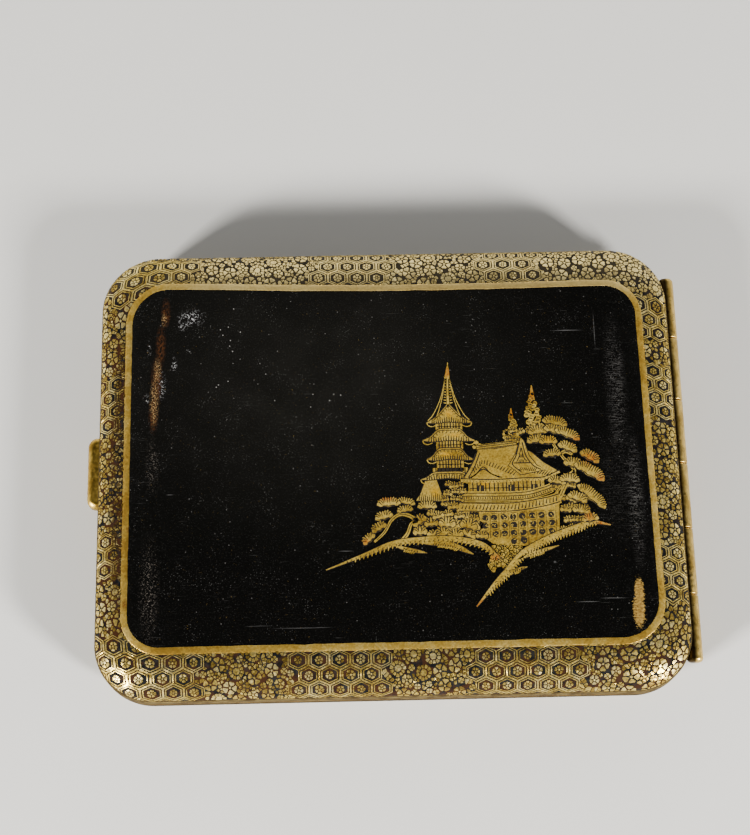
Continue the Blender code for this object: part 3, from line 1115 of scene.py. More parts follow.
def clip_below(polygon, limit_of):
    """The part of a convex polygon where limit_of is not positive."""
    if len(polygon) < 3:
        return polygon
    values = limit_of(polygon)
    if (values <= 0).all():
        return polygon
    kept = []
    for index in range(len(polygon)):
        after = (index + 1) % len(polygon)
        here, there = values[index], values[after]
        if here <= 0:
            kept.append(polygon[index])
        if (here <= 0) != (there <= 0):
            share = here / (here - there)
            kept.append(polygon[index] + (polygon[after] - polygon[index]) * share)
    return np.array(kept).reshape(-1, 2)


def beyond_lip(points):
    """How far sheet points lie below the edge of the pattern."""
    return PLAIN_LIP - SHOULDER.at(*on_sheet(points))[:, 2]


def under_line(points):
    """How far sheet points lie in under the gold line."""
    return -on_sheet(points)[1] - LINE_OVERLAP


def subdivided(polygon, most):
    """The same outline with no side longer than most."""
    result = []
    for index, start in enumerate(polygon):
        end = polygon[(index + 1) % len(polygon)]
        pieces = max(1, math.ceil(np.linalg.norm(end - start) / most))
        result += [start + (end - start) * step / pieces for step in range(pieces)]
    return np.array(result)


def add_clipped(inlay, polygon, tone, rng):
    """A pattern leaf, cut at the lip and under the line."""
    shape = clip_below(clip_below(np.asarray(polygon, float), beyond_lip), under_line)
    if len(shape) < 3:
        return
    tilt = rng.normal(0, LEAF_TILT, 2)
    inlay.add(subdivided(shape, LONGEST_SIDE), PATTERN_RELIEF, tone, tilt, LEAF_DOME)


def add_blossom(inlay, centre, radius, petals, heart, rng):
    """Petals round a small heart, narrow at the heart and notched at the rim."""
    turn = rng.uniform(0, 2 * math.pi)
    half = math.pi / petals
    tone = rng.uniform(*BLOSSOM_TONES)
    for petal in range(petals):
        middle = turn + 2 * half * petal
        reach = radius * rng.uniform(*PETAL_REACH)
        outline = []
        for distance, angle in ((heart + PETAL_OFF_HEART, 0.0), *PETAL):
            way = middle + angle * half
            x = centre[0] + reach * distance * math.cos(way)
            y = centre[1] + reach * distance * math.sin(way)
            outline.append((x, y))
        add_clipped(inlay, outline, tone + rng.normal(0, PETAL_TONE_SPREAD), rng)
    if heart > 0:
        outline = blob(centre, radius * heart, rng, HEART_POINTS)
        add_clipped(inlay, outline, tone + HEART_TONE, rng)


def add_hexagon(inlay, centre, rng):
    """One cell: its share of the gold net, an inner line and a small flower."""
    tone = rng.uniform(*CELL_TONES)
    for outer_scale, inner_scale in ((1.0, NET_INNER), (RING_OUTER, RING_INNER)):
        outer = hexagon(centre, outer_scale)
        inner = hexagon(centre, inner_scale)
        for side in range(SIDES):
            after = (side + 1) % SIDES
            quad = [outer[side], outer[after], inner[after], inner[side]]
            add_clipped(inlay, quad, tone + rng.normal(0, CELL_TONE_SPREAD), rng)
    radius = rng.uniform(*CELL_FLOWER_RADII)
    add_blossom(inlay, centre, radius, int(rng.integers(5, 7)), CELL_FLOWER_HEART, rng)


def hexagon_centres(regions):
    """Cell centres of the net inside the regions, kept to the width of the border."""
    centres = []
    for row in range(-HEX_ROWS, HEX_ROWS + 1):
        for column in range(-HEX_COLUMNS, HEX_COLUMNS + 1):
            x = (column + (row % 2) / 2) * HEX_PITCH
            y = math.copysign(HEX_FIRST_ROW, row) + row * HEX_ROW
            if any(a <= x <= b and c <= y <= d for (a, b), (c, d) in regions):
                centres.append((x, y))
    centres = np.array(centres)
    around, out = on_sheet(centres)
    return centres[(out > HEX_UNDER_LINE) & (out < SHOULDER.lip_at(around) + LIP_HEIGHT)]


def free_rounds(rng, radius, tries, taken):
    """Centres in the border for rounds that keep clear of those taken already, and the longer list."""
    low = np.array([-LINE_HALF_WIDTH - BORDER_REACH, -LINE_HALF_DEPTH - BORDER_REACH])
    points = rng.uniform(low, -low, (tries, 2))
    around, out = on_sheet(points)
    inside = (out > 0.1) & (out < SHOULDER.lip_at(around) + LIP_HEIGHT - PLAIN_LIP)
    found = []
    for point in points[inside]:
        gap = np.hypot(taken[:, 0] - point[0], taken[:, 1] - point[1]) - taken[:, 2]
        if gap.min() > radius:
            found.append(point)
            taken = np.vstack([taken, [*point, radius]])
    return np.array(found), taken


def corner_of_cell(corners):
    """The point as far from all three corners of a triangle, where three cells meet."""
    a, b, c = corners
    d = 2 * (a.x * (b.y - c.y) + b.x * (c.y - a.y) + c.x * (a.y - b.y))
    d = d if abs(d) > 1e-9 else 1e-9
    sa, sb, sc = a.length_squared, b.length_squared, c.length_squared
    x = (sa * (b.y - c.y) + sb * (c.y - a.y) + sc * (a.y - b.y)) / d
    y = (sa * (c.x - b.x) + sb * (a.x - c.x) + sc * (b.x - a.x)) / d
    return x, y


def cell_outlines(seeds):
    """The nearest-point cell of each seed, from its triangulation."""
    result = delaunay_2d_cdt([Vector(seed) for seed in seeds], [], [], 0, 1e-5)
    vertices, triangles, originals = result[0], result[2], result[3]
    centres = [corner_of_cell([vertices[corner] for corner in triangle]) for triangle in triangles]
    incident = [[] for _ in vertices]
    for index, triangle in enumerate(triangles):
        for corner in triangle:
            incident[corner].append(index)
    cells = {}
    for vertex, touching in enumerate(incident):
        if len(touching) < 3 or not originals[vertex]:
            continue
        ring = np.array([centres[index] for index in touching])
        own = np.array(vertices[vertex])
        if np.abs(ring - own).max() > LARGEST_CELL:
            continue
        order = np.argsort(np.arctan2(ring[:, 1] - own[1], ring[:, 0] - own[0]))
        cells[originals[vertex][0]] = ring[order]
    return cells


def shrunk(polygon, gap):
    """The outline drawn in by about the gap, or nothing where it is too small."""
    middle = polygon.mean(axis=0)
    size = math.sqrt(np.mean(np.sum((polygon - middle) ** 2, axis=1)))
    if size < gap * LEAST_LEAF_IN_GAPS:
        return polygon[:0]
    return middle + (polygon - middle) * (1 - gap / size)


def halves(polygon, rng):
    """The outline cut in two along a random line through its middle."""
    middle = polygon.mean(axis=0)
    angle = rng.uniform(0, math.pi)
    across = np.array([math.cos(angle), math.sin(angle)])
    return [
        clip_below(polygon, lambda points, way=way: way * ((points - middle) @ across) + SPLIT_GAP)
        for way in (1, -1)
    ]


def blob(centre, radius, rng, points=9, squash=1.0):
    """A slightly uneven round."""
    angles = np.linspace(0, 2 * math.pi, points, endpoint=False)
    reach = radius * (1 + rng.normal(0, BLOB_UNEVENNESS, points))
    return np.column_stack([np.cos(angles) * reach, np.sin(angles) * reach * squash]) + centre


def make_pattern(name, side, body, regions, seed):
    """The gold border: hexagon cells in some stretches, and blossoms and small leaves between."""
    rng = np.random.default_rng(seed)
    inlay = Inlay(side, SHOULDER.place)
    hexagons = hexagon_centres(regions)
    for centre in hexagons:
        add_hexagon(inlay, centre, rng)
    blockers = [hexagon(centre, HEX_BLOCK) for centre in hexagons] + [hexagons]
    taken = np.column_stack([hexagons, np.full(len(hexagons), HEX_PITCH / 2)])
    for radius, tries, petals, heart in FLOWERS:
        centres, taken = free_rounds(rng, radius, tries, taken)
        for centre in centres:
            add_blossom(inlay, centre, radius * FLOWER_SHARE, petals, heart, rng)
            blockers.append(blob(centre, radius * FLOWER_BLOCK, rng, int(radius * 9)))
    fillers, _ = free_rounds(rng, FILLER, FILLER_TRIES, taken)
    around = np.arange(0, 8, EDGE_BLOCK_STEP)
    ends = SHOULDER.lip_at(around) + LIP_HEIGHT
    for place, end in zip(around, ends):
        for out in (EDGE_BLOCK_INSIDE, end):
            blockers.append(ring_points(np.array([place]), *line_ring(out)))
    cells = cell_outlines(np.vstack([fillers, *blockers]))
    for index, outline in cells.items():
        if index >= len(fillers) or rng.random() < BARE_SHARE:
            continue
        leaf = shrunk(outline, rng.uniform(*LEAF_GAPS))
        for piece in halves(leaf, rng) if len(leaf) and rng.random() < SPLIT_SHARE else [leaf]:
            add_clipped(inlay, piece, rng.uniform(*LEAF_TONES), rng)
    inlay.build(name, PATTERN_GOLD, body, "gold_finish")


# The landscape: a pagoda, a hall on stilts, pines and ridges, in millimetres on the lid

LEVEL_STEP = 0.008
SUB_LEVEL = 0.75
CUT_LIFT = 0.004
CONTOUR_LIFT = -0.001
CUT_WIDTH = 0.16
CUT_SPREAD = 1.35
CURVE_STEPS = 5
CONTOUR_WIDTH = 0.17
MOSAIC_GAP = 0.11
PICTURE_SEED = 21
TONE_SPREAD = 0.08
TOOTH_REACH = (0.75, 1.15)
RIDGE_TAPER = 3.5
RIDGE_END = 0.12


def curve(points):
    """A smooth curve through the points."""
    points = np.asarray(points, float)
    padded = np.vstack([2 * points[0] - points[1], points, 2 * points[-1] - points[-2]])
    result = []
    for a, b, c, d in zip(padded, padded[1:], padded[2:], padded[3:]):
        for step in range(CURVE_STEPS):
            s = step / CURVE_STEPS
            bend = (2 * a - 5 * b + 4 * c - d) * s**2 + (3 * b - a - 3 * c + d) * s**3
            result.append(b + ((c - a) * s + bend) / 2)
    return np.vstack([result, points[-1:]])


def normals_of(points):
    """Unit vectors to the left of a curve at each of its points."""
    step = np.gradient(points, axis=0)
    return np.column_stack([-step[:, 1], step[:, 0]]) / np.linalg.norm(step, axis=1, keepdims=True)


def grown(outline, margin):
    """A closed outline moved outward."""
    outline = np.asarray(outline, float)
    step = np.roll(outline, -1, axis=0) - np.roll(outline, 1, axis=0)
    step /= np.maximum(np.linalg.norm(step, axis=1, keepdims=True), 1e-6)
    turn = 1 if turns_left(outline) else -1
    return outline + np.column_stack([step[:, 1], -step[:, 0]]) * margin * turn


def along(points, count):
    """Evenly spaced places on a curve, with the direction to its left at each."""
    steps = np.linalg.norm(np.diff(points, axis=0), axis=1)
    length = np.concatenate([[0], np.cumsum(steps)])
    wanted = np.linspace(0, length[-1], count + 2)[1:-1]
    table = np.hstack([points, normals_of(points)])
    found = np.column_stack([np.interp(wanted, length, table[:, i]) for i in range(4)])
    return found[:, :2], found[:, 2:]


def band(path, half):
    """The outline of a band along a path, from its left side round to its right."""
    side = normals_of(path) * half
    return np.vstack([path + side, (path - side)[::-1]])


class Landscape:
    """The picture's leaves, drawn from the back to the front."""

    def __init__(self):
        self.layers = {name: Inlay(LID, place_on_top) for name in ("gold", "cut")}
        self.rng = np.random.default_rng(PICTURE_SEED)
        self.level = 0

    def area(self, outline, tone=0.5, layer="gold", lift=0.0):
        relief = PICTURE_RELIEF + LEVEL_STEP * self.level + lift
        self.layers[layer].add(outline, relief, tone + self.rng.normal(0, TONE_SPREAD))

    def shape(self, outline, tone=0.6, edge=CONTOUR_WIDTH):
        """Gold with a dark contour round it, which parts it from what lies behind."""
        self.area(grown(outline, edge), 0.5, "cut", CONTOUR_LIFT)
        self.area(outline, tone)

    def line(self, points, width, end=None, tone=0.6, layer="gold", lift=0.0):
        """A stroke along the points, from one width to the other."""
        points = np.asarray(points, float)
        half = np.linspace(width, width if end is None else end, len(points))[:, None] / 2
        if layer == "cut":
            half *= CUT_SPREAD
        self.area(band(points, half), tone, layer, lift)

    def cut(self, points, width=CUT_WIDTH, end=None):
        """An engraved line over the gold of this level."""
        self.line(points, width, end, 0.5, "cut", CUT_LIFT)

    def cuts(self, path, shifts, width):
        """Engraved lines along a path, each shifted up by so much."""
        for shift in shifts:
            self.cut(path + [0, shift], width)

    def teeth(self, points, count, inward, outward, slant=0.0, layer="cut", width=CUT_WIDTH):
        """Short strokes across a curve, from inward on its right to outward on its left."""
        places, normals = along(np.asarray(points, float), count)
        for place, normal in zip(places, normals):
            lean = np.array([normal[1], -normal[0]]) * slant
            reach = self.rng.uniform(*TOOTH_REACH)
            ends = [place - (normal + lean) * inward * reach, place + (normal + lean) * outward * reach]
            lift = CUT_LIFT if layer == "cut" else CUT_LIFT / 2
            self.line(ends, width, width * 0.5, 0.65, layer, lift)

    def build(self):
        self.layers["gold"].build("picture_gold", PICTURE_GOLD, "lid", "gold_finish")
        self.layers["cut"].build("picture_engraving", ENGRAVED, "lid", "black_lacquer")


def draw_ridge(art, points, width, teeth):
    """A slope: a band that tapers to its ends, with tufts below."""
    path = curve(points)
    share = np.linspace(0, 1, len(path))
    taper = np.minimum(1, np.minimum(share, 1 - share) * RIDGE_TAPER + RIDGE_END)
    half = width / 2 * taper[:, None]
    art.shape(band(path, half), 0.6, 0.12)
    lower = path - normals_of(path) * half
    art.teeth(lower[3:-3], teeth, -0.05, -0.4, 0.5, "gold", 0.26)
    art.teeth(lower[2:-2], teeth, -0.32, -0.02, 0.3)
    for place in path[3:-3] + art.rng.normal(0, 0.2 * width, (len(path) - 6, 2)):
        art.cut([place, place + art.rng.normal(0, 0.22, 2) + [0.1, 0.05]], 0.1)


def draw_mosaic(art, outline, count):
    """Stones or low bushes: a patch of small uneven gold leaves with dark joints."""
    outline = np.asarray(outline, float)
    low, high = outline.min(axis=0), outline.max(axis=0)
    seeds = art.rng.uniform(low - 1, high + 1, (count, 2))
    run = np.roll(outline, -1, axis=0) - outline
    for cell in cell_outlines(seeds).values():
        middle = cell.mean(axis=0)
        crosses = (outline[:, 1] > middle[1]) != (np.roll(outline[:, 1], -1) > middle[1])
        climb = np.where(run[:, 1], run[:, 1], 1)
        crossing = outline[:, 0] + (middle[1] - outline[:, 1]) * run[:, 0] / climb
        if (crosses & (middle[0] < crossing)).sum() % 2:
            art.area(shrunk(cell, MOSAIC_GAP), 0.5)
            art.cut([middle, middle + (cell[0] - middle) * 0.6], 0.12)


def draw_roof(art, top, half_top, left, right):
    """A tiled roof seen from the front, its corners turned up, with rafters under it."""
    left, right = np.array(left), np.array(right)
    eaves = min(left[1], right[1])
    sag = np.array([0, 0.14 * (top[1] - eaves)])
    shoulders = [np.array([top[0] + way * half_top, top[1] - 0.1]) for way in (-1, 1)]
    slopes = [tip * 0.5 + shoulder * 0.5 - sag for tip, shoulder in zip((left, right), shoulders)]
    upper = curve([left, slopes[0], shoulders[0], top, shoulders[1], slopes[1], right])
    inner = [(tip[0] * 0.6 + top[0] * 0.4, eaves - 0.05) for tip in (right, left)]
    under = curve([right, inner[0], (top[0], eaves + 0.2), inner[1], left])
    art.shape(np.vstack([upper, under[1:-1]]))
    art.teeth(under[2:-2], 17, -0.02, -0.9, 0.0, width=0.18)
    tiles = upper[5:-5] - [0, 0.3]
    art.cut(tiles, 0.11)
    art.teeth(tiles, 10, 0.5, 0.0, 0.2, width=0.13)
    for tip, way in ((left, 1), (right, -1)):
        bracket = [(0.1, -0.1), (0.35, -0.6), (1.1, -0.8), (1.9, -0.5)]
        art.line(curve([tip + [way * x, y] for x, y in bracket]), 0.2, 0.12, 0.8)


def rectangle(x_low, x_high, y_low, y_high):
    return np.array([(x_low, y_low), (x_high, y_low), (x_high, y_high), (x_low, y_high)])


def draw_wall(art, x_low, x_high, y_low, y_high, posts):
    """A timbered wall: gold cut by upright lines and one beam."""
    art.area(rectangle(x_low, x_high, y_low, y_high))
    for x in np.linspace(x_low, x_high, posts + 2)[1:-1]:
        shift = art.rng.normal(0, 0.06)
        art.cut([(x + shift, y_low + 0.12), (x + shift, y_high - 0.1)], 0.19, 0.15)
    if y_high - y_low > 2:
        beam = y_low + (y_high - y_low) * 0.45
        art.cut([(x_low + 0.2, beam), (x_high - 0.2, beam)], 0.12)


PAGODA_X = 11.3
PAGODA_WALL = 2.5


def draw_pagoda(art):
    art.level = 0
    foot = [(8.6, -4.0), (9.9, -8.1), (4.7, -7.9), (5.6, -6.6), (6.5, -4.2)]
    art.shape(np.array(foot), 0.65)
    art.teeth([(9.7, -7.9), (7.2, -8.0), (4.9, -7.7)], 12, -0.1, -1.3, 0.1)
    for top, bottom in ((7.8, 5.2), (4.4, 1.4), (0.6, -2.4)):
        draw_wall(art, PAGODA_X - PAGODA_WALL, PAGODA_X + PAGODA_WALL, bottom, top, 8)
    draw_wall(art, PAGODA_X - 3.3, PAGODA_X + 3.2, -3.1, -1.7, 11)
    art.level = 1
    for top, half_top, left, right in (
        ((PAGODA_X, 10.7), 0.3, (7.1, 7.2), (15.7, 7.1)),
        ((PAGODA_X, 5.9), 2.0, (6.2, 3.7), (16.1, 3.5)),
        ((PAGODA_X, 2.1), 2.0, (6.9, 0.0), (15.8, -0.2)),
        ((10.8, -2.5), 2.6, (5.6, -3.9), (15.4, -3.9)),
    ):
        draw_roof(art, top, half_top, left, right)
    # Pale strokes at the middle of the roofs: a painted highlight
    for x, y in ((12.4, 4.9), (10.4, 1.0), (11.4, 9.2)):
        art.line([(x - 0.9, y + 0.1), (x + 0.7, y - 0.1)], 0.5, 0.3, 1.3, lift=0.002)
    mast = curve([(PAGODA_X, 10.4), (11.3, 14.0), (11.5, 19.1)])
    art.line(mast, 0.5, 0.14, 0.7)
    art.line([(11.25, 15.9), (11.4, 17.4), (11.45, 18.5)], 1.0, 0.22, 0.5, lift=0.003)
    for step in range(9):
        y = 11.0 + step * 0.55
        reach = 0.85 - step * 0.05
        for way in (-1, 1):
            art.line([(PAGODA_X + way * 0.35, y), (PAGODA_X + way * reach, y + 0.08)], 0.22, 0.12, 0.8)
    for way in (-1, 1):
        for spread in (1.0, 0.72):
            stay = [(0.4, 15.9), (0.4 + 0.9 * spread, 12.2), (2.8 * spread, 8.9), (3.9 * spread, 7.6)]
            art.line(curve([(PAGODA_X + way * x, y) for x, y in stay]), 0.12, 0.16, 1.0)


LATTICE_PITCH = 1.75


def draw_stilts(art):
    """The lattice under the hall's deck."""
    outline = [(16.2, -9.8), (24.0, -10.2), (31.2, -9.0), (31.0, -14.6), (24.6, -16.9), (18.6, -16.4)]
    art.area(np.array(outline + [(16.4, -14.6)]))
    for row in range(4):
        for column in range(8):
            x = 17.3 + column * LATTICE_PITCH + art.rng.normal(0, 0.05)
            y = -11.5 - row * 1.55 + 0.06 * column
            if y < -16.4 + abs(x - 22.5) * 0.22:
                continue
            art.area(blob((x, y), 0.62, art.rng, 9), 0.5, "cut", CUT_LIFT)
            for place in (x, y) + art.rng.normal(0, 0.24, (4, 2)):
                art.line([place, place + art.rng.normal(0, 0.17, 2)], 0.17, 0.1, 0.9, lift=0.006)
            art.cut([(x + LATTICE_PITCH / 2, y - 0.7), (x + LATTICE_PITCH / 2, y + 0.7)], 0.08)
            art.cut([(x - 0.5, y + 0.74), (x + 0.6, y + 0.8)], 0.08)


def draw_hall(art):
    """The hall: a big tiled roof with a gable, a gallery and a deck on stilts."""
    art.level = 1
    draw_stilts(art)
    art.level = 2
    draw_wall(art, 14.5, 28.6, -7.1, -4.2, 17)
    for x in (16.2, 21.9, 26.2):
        art.area(rectangle(x, x + 1.2, -6.6, -5.2), 0.5, "cut", 0.005)
        art.line([(x + 0.4, -6.4), (x + 0.5, -5.3)], 0.14, 0.14, 0.8, lift=0.007)
    art.level = 2.75
    rail = curve([(13.2, -7.3), (24.0, -7.4), (28.4, -6.5), (30.0, -5.9)])
    art.line(rail, 2.0, 1.7, 0.6)
    art.cuts(rail, (0.62, 0.05, -0.7), 0.13)
    art.teeth(rail - [0, 0.3], 38, 0.22, 0.22, width=0.17)
    art.level = 3.5
    deck = curve([(12.6, -9.3), (22.0, -9.5), (28.2, -8.7), (31.4, -7.9)])
    art.line(deck, 1.8, 2.1, 0.65)
    art.cuts(deck, (0.76, -0.78), 0.15)
    art.teeth(deck, 28, 0.5, 0.5, 0.35, width=0.18)
    art.level = 4.25
    roof = [(16.6, 1.6), (20.0, 1.8), (24.0, 2.4), (26.6, 0.9), (28.6, -1.0), (31.4, -2.8)]
    roof += [(28.4, -4.1), (24.6, -4.1), (19.0, -4.3), (13.3, -4.1), (14.9, -1.9), (15.9, -0.3)]
    art.shape(np.array(roof))
    eaves = curve([(13.1, -4.2), (19.0, -4.5), (24.6, -4.3), (28.4, -4.2), (31.6, -2.9)])
    art.line(eaves, 0.55, 0.35, 0.8, lift=0.002)
    art.cut(eaves + [0, 0.33], 0.15)
    art.teeth(eaves - [0, 0.05], 30, 0.12, 0.12, width=0.12)
    for shift in (0.0, 0.75):
        art.cut(curve([(16.1 + shift, 1.0), (15.1 + shift, -1.5), (13.7 + shift * 1.2, -3.7)]), 0.16)
    art.teeth([(15.4, -3.0), (17.3, -0.9), (20.5, -2.2), (23.4, -3.6)], 17, 0.1, 0.85, 0.3, width=0.17)
    art.teeth([(25.2, -2.6), (30.2, -3.6)], 10, 0.15, 0.8, 0.6, width=0.17)
    for reach in (0.0, 0.42):
        bow = [(14.6 + reach, -3.8), (15.9, -3.2 + reach * 0.2), (17.4, -1.7 - reach)]
        art.cut(curve(bow + [(18.8, -3.0), (20.8 - reach, -3.8)]), 0.16)
    ridge = np.array([(16.3, 2.1), (23.8, 2.9)])
    art.line(ridge, 1.05, 0.95, 0.5)
    art.cuts(ridge, (0.36, 0.04, -0.36), 0.12)
    for place, radius in (((16.3, 3.1), 0.38), ((16.9, 2.7), 0.26), ((15.9, 2.2), 0.34)):
        art.area(blob(place, radius, art.rng), 0.8, lift=0.002)
    art.level = 5
    gable = [(24.7, 3.9), (25.2, 3.2), (26.0, 0.4), (27.4, -1.6), (29.0, -2.4), (24.4, -3.3)]
    art.shape(np.array(gable + [(22.2, -1.5), (23.7, 0.9)]))
    for line, width in (
        ([(24.4, 3.0), (23.6, 0.3), (22.9, -1.3), (24.5, -2.8)], 0.16),
        ([(24.9, 3.0), (25.5, 0.3), (26.8, -1.6), (28.2, -2.4)], 0.16),
        ([(24.6, 1.9), (24.2, 0.2), (23.7, -0.8)], 0.13),
        ([(24.7, 1.9), (25.0, 0.2), (25.6, -0.8)], 0.13),
    ):
        art.cut(curve(line), width)
    art.cut([(23.2, -1.05), (26.2, -1.05)], 0.18)
    art.teeth([(24.0, -0.6), (25.3, -0.6)], 4, 0.3, 0.3, 0.5, width=0.12)
    art.teeth([(24.2, 0.3), (25.1, 0.3)], 3, 0.3, 0.3, 0.5, width=0.12)
    art.teeth([(24.0, -2.1), (27.6, -2.3)], 9, 0.4, 0.3, 0.5, width=0.15)


def draw_pad(art, centre, length, height, turn):
    """A cushion of needles or leaves: a domed shape with a toothed top and a line along its foot."""
    angles = np.linspace(0, math.pi, 13)
    bulge = np.sin(angles) * height * (1.5 + 0.15 * np.cos(6 * angles))
    hollow = -np.sin(angles) * height * (0.5 + 0.12 * np.cos(8 * angles))
    top = np.column_stack([np.cos(angles) * length, bulge])
    foot = np.column_stack([-np.cos(angles) * length, hollow])
    cos, sin = math.cos(turn), math.sin(turn)
    spin = np.array([(cos, sin), (-sin, cos)])
    top = top / 2 @ spin + centre
    foot = foot / 2 @ spin + centre
    art.shape(np.vstack([top, foot[1:-1]]), art.rng.uniform(0.4, 0.75), 0.14)
    teeth = max(4, int(length * 2.1))
    art.teeth(top[1:-1], teeth, 0.0, -0.22, 0.0, "gold", 0.2)
    art.teeth(top[1:-1], teeth + 1, -0.02, height * 0.5, 0.0, width=0.17)
    art.cut(foot[3:-3] * 0.75 + np.asarray(centre) * 0.25, 0.13)


def draw_pads(art, level, pads):
    """Cushions that overlap, each a little above the last."""
    for index, pad in enumerate(pads):
        art.level = level + index % 4 * SUB_LEVEL
        draw_pad(art, *pad)


def draw_foliage(art, level, rows):
    """Rows of rounded bushes, the back row first."""
    for row, (start, end, count, size) in enumerate(rows):
        for index in range(count):
            share = (index + 0.5) / count
            place = np.array(start) * (1 - share) + np.array(end) * share + art.rng.normal(0, 0.2, 2)
            art.level = level + (2 * row + index % 2) % 5 * SUB_LEVEL
            width = size * art.rng.uniform(0.85, 1.25)
            draw_pad(art, place, width, width * 0.62, art.rng.normal(0, 0.25))


def draw_conifer(art, tip, height, width, count):
    """A pointed tree: tufts that grow towards its foot."""
    tip = np.asarray(tip, float)
    art.line([tip, tip - [0, height * 0.16], tip - [0, height * 0.34]], 0.16, width * 0.3, 0.5)
    for index in range(count):
        share = 0.2 + 0.8 * (index / count) ** 0.8
        spread = width / 2 * share
        place = tip + [art.rng.uniform(-spread, spread), -height * share]
        radius = 0.3 + 0.35 * share
        tuft = blob(place, radius, art.rng, 8, 0.85)
        art.area(tuft, art.rng.uniform(0.2, 0.9), "gold", 0.001 * (index % 4))
        art.cut([place - [radius * 0.6, -0.1], place + [radius * 0.5, 0.0]], 0.13)


# Centre, length, height and turn of the pines' cushions
LEFT_PADS = (
    ((2.8, -8.3), 3.4, 1.2, -0.2),
    ((-0.4, -8.5), 4.4, 1.6, 0.06),
    ((-1.3, -11.0), 3.4, 1.5, 0.25),
    ((-2.2, -13.1), 3.0, 1.5, 0.5),
    ((-4.1, -15.2), 2.8, 1.4, 0.75),
    ((6.7, -9.2), 3.6, 1.4, 0.0),
    ((2.6, -9.8), 3.0, 1.2, 0.15),
)
RIGHT_PADS = (
    ((28.0, 4.9), 3.8, 1.7, 0.1),
    ((31.2, 6.6), 4.8, 1.7, -0.22),
    ((31.0, 5.0), 4.0, 1.6, -0.3),
    ((33.4, 4.2), 5.0, 1.7, -0.42),
    ((27.6, 3.2), 3.6, 1.5, 0.15),
    ((29.8, 2.9), 3.4, 1.5, 0.0),
    ((33.3, 1.6), 3.8, 1.7, -0.4),
    ((30.4, 0.4), 3.4, 1.4, 0.1),
    ((37.3, -0.3), 4.0, 1.8, -0.55),
    ((34.2, -1.6), 3.6, 1.8, -0.2),
    ((37.1, -3.2), 6.4, 2.1, -0.55),
    ((33.4, -4.6), 3.8, 1.6, -0.1),
    ((37.2, -7.9), 6.8, 1.9, -0.75),
    ((34.6, -8.2), 3.8, 1.7, -0.4),
    ((35.2, -10.6), 3.4, 1.6, -0.2),
    ((36.8, -12.2), 3.2, 1.5, 0.1),
    ((31.0, -4.9), 3.4, 1.5, -0.2),
)

# From, to, number and size of the bushes in each row
THICKET = (
    ((29.5, -6.2), (34.5, -5.8), 4, 1.7),
    ((31.5, -8.2), (36.0, -8.4), 4, 1.8),
    ((31.6, -10.2), (36.6, -10.4), 4, 1.9),
    ((31.8, -12.4), (36.8, -12.2), 4, 1.9),
    ((31.2, -14.2), (34.2, -13.6), 2, 1.9),
)
BANK = (
    ((9.6, -9.2), (15.4, -10.3), 4, 2.0),
    ((6.4, -10.6), (16.4, -11.8), 6, 2.2),
    ((4.6, -12.2), (17.0, -13.4), 6, 2.6),
    ((4.2, -14.2), (17.4, -15.0), 6, 2.5),
)
HEDGE = (
    ((10.2, -5.2), (13.6, -5.2), 3, 1.5),
    ((9.8, -6.8), (13.8, -6.6), 3, 1.6),
    ((9.8, -8.2), (13.0, -8.0), 3, 1.5),
)
CROWNS = (
    ((21.6, 4.6), (27.0, 5.4), 4, 1.7),
    ((21.6, 3.4), (24.0, 3.6), 2, 1.6),
)


def draw_trees(art):
    art.level = 4
    trunks = (
        [(31.2, -8.3), (32.8, -5.2), (34.4, -2.8), (32.6, -0.4), (31.0, 2.0), (30.2, 4.0)],
        [(34.4, -2.8), (33.0, -4.0), (30.6, -7.2)],
        [(31.9, 0.5), (32.9, 1.0), (34.2, 0.4)],
        [(4.9, -11.9), (3.4, -10.8), (1.6, -10.5), (0.0, -11.6), (-1.3, -13.8), (-3.2, -15.6)],
        [(1.7, -15.6), (2.9, -14.2), (3.7, -12.3), (4.9, -11.9)],
    )
    for points in trunks:
        path = curve(points)
        art.line(path, 0.75, 0.4, 0.7)
        art.cut(path[1:-1], 0.1)
    draw_pads(art, 6, LEFT_PADS)
    draw_pads(art, 6, RIGHT_PADS)


# The longer slopes, from left to right
LEFT_RIDGE = (
    (-12.2, -20.7), (-4.8, -17.9), (0.3, -16.0), (5.0, -15.4),
    (10.6, -15.3), (16.2, -16.4), (18.9, -18.5), (20.3, -19.8),
)
RIGHT_RIDGE = (
    (15.1, -28.1), (18.2, -24.5), (20.8, -21.9), (24.1, -18.3),
    (29.1, -15.6), (34.5, -13.6), (37.2, -12.7), (40.5, -13.3),
)

# Points, width and teeth of the slopes behind the hall
RIDGES = (
    (((0.6, -16.5), (3.2, -17.2), (6.4, -17.9)), 0.6, 6),
    (((4.8, -15.9), (10.6, -16.4), (14.9, -18.3)), 0.9, 13),
    (LEFT_RIDGE, 1.0, 34),
    (((22.9, -19.4), (26.5, -18.2), (30.7, -17.0)), 0.6, 8),
    (((20.9, -22.6), (22.8, -21.4), (24.7, -20.9)), 0.5, 5),
)


def make_landscape():
    art = Landscape()
    art.level = 1
    draw_conifer(art, (27.2, 14.2), 8.6, 3.4, 26)
    draw_conifer(art, (23.1, 9.7), 6.6, 2.8, 20)
    draw_foliage(art, 1, CROWNS)
    art.level = 0
    gully = [(18.6, -16.4), (24.2, -16.9), (20.4, -21.4), (18.6, -21.6), (17.6, -20.4)]
    draw_mosaic(art, gully, 150)
    draw_pagoda(art)
    draw_foliage(art, 2, HEDGE)
    draw_foliage(art, 1, BANK)
    draw_foliage(art, 1, THICKET)
    art.level = 6
    for points, width, teeth in RIDGES:
        draw_ridge(art, points, width, teeth)
    draw_hall(art)
    art.level = 6
    draw_ridge(art, RIGHT_RIDGE, 1.2, 42)
    draw_trees(art)
    art.build()


# Hinge and push bar


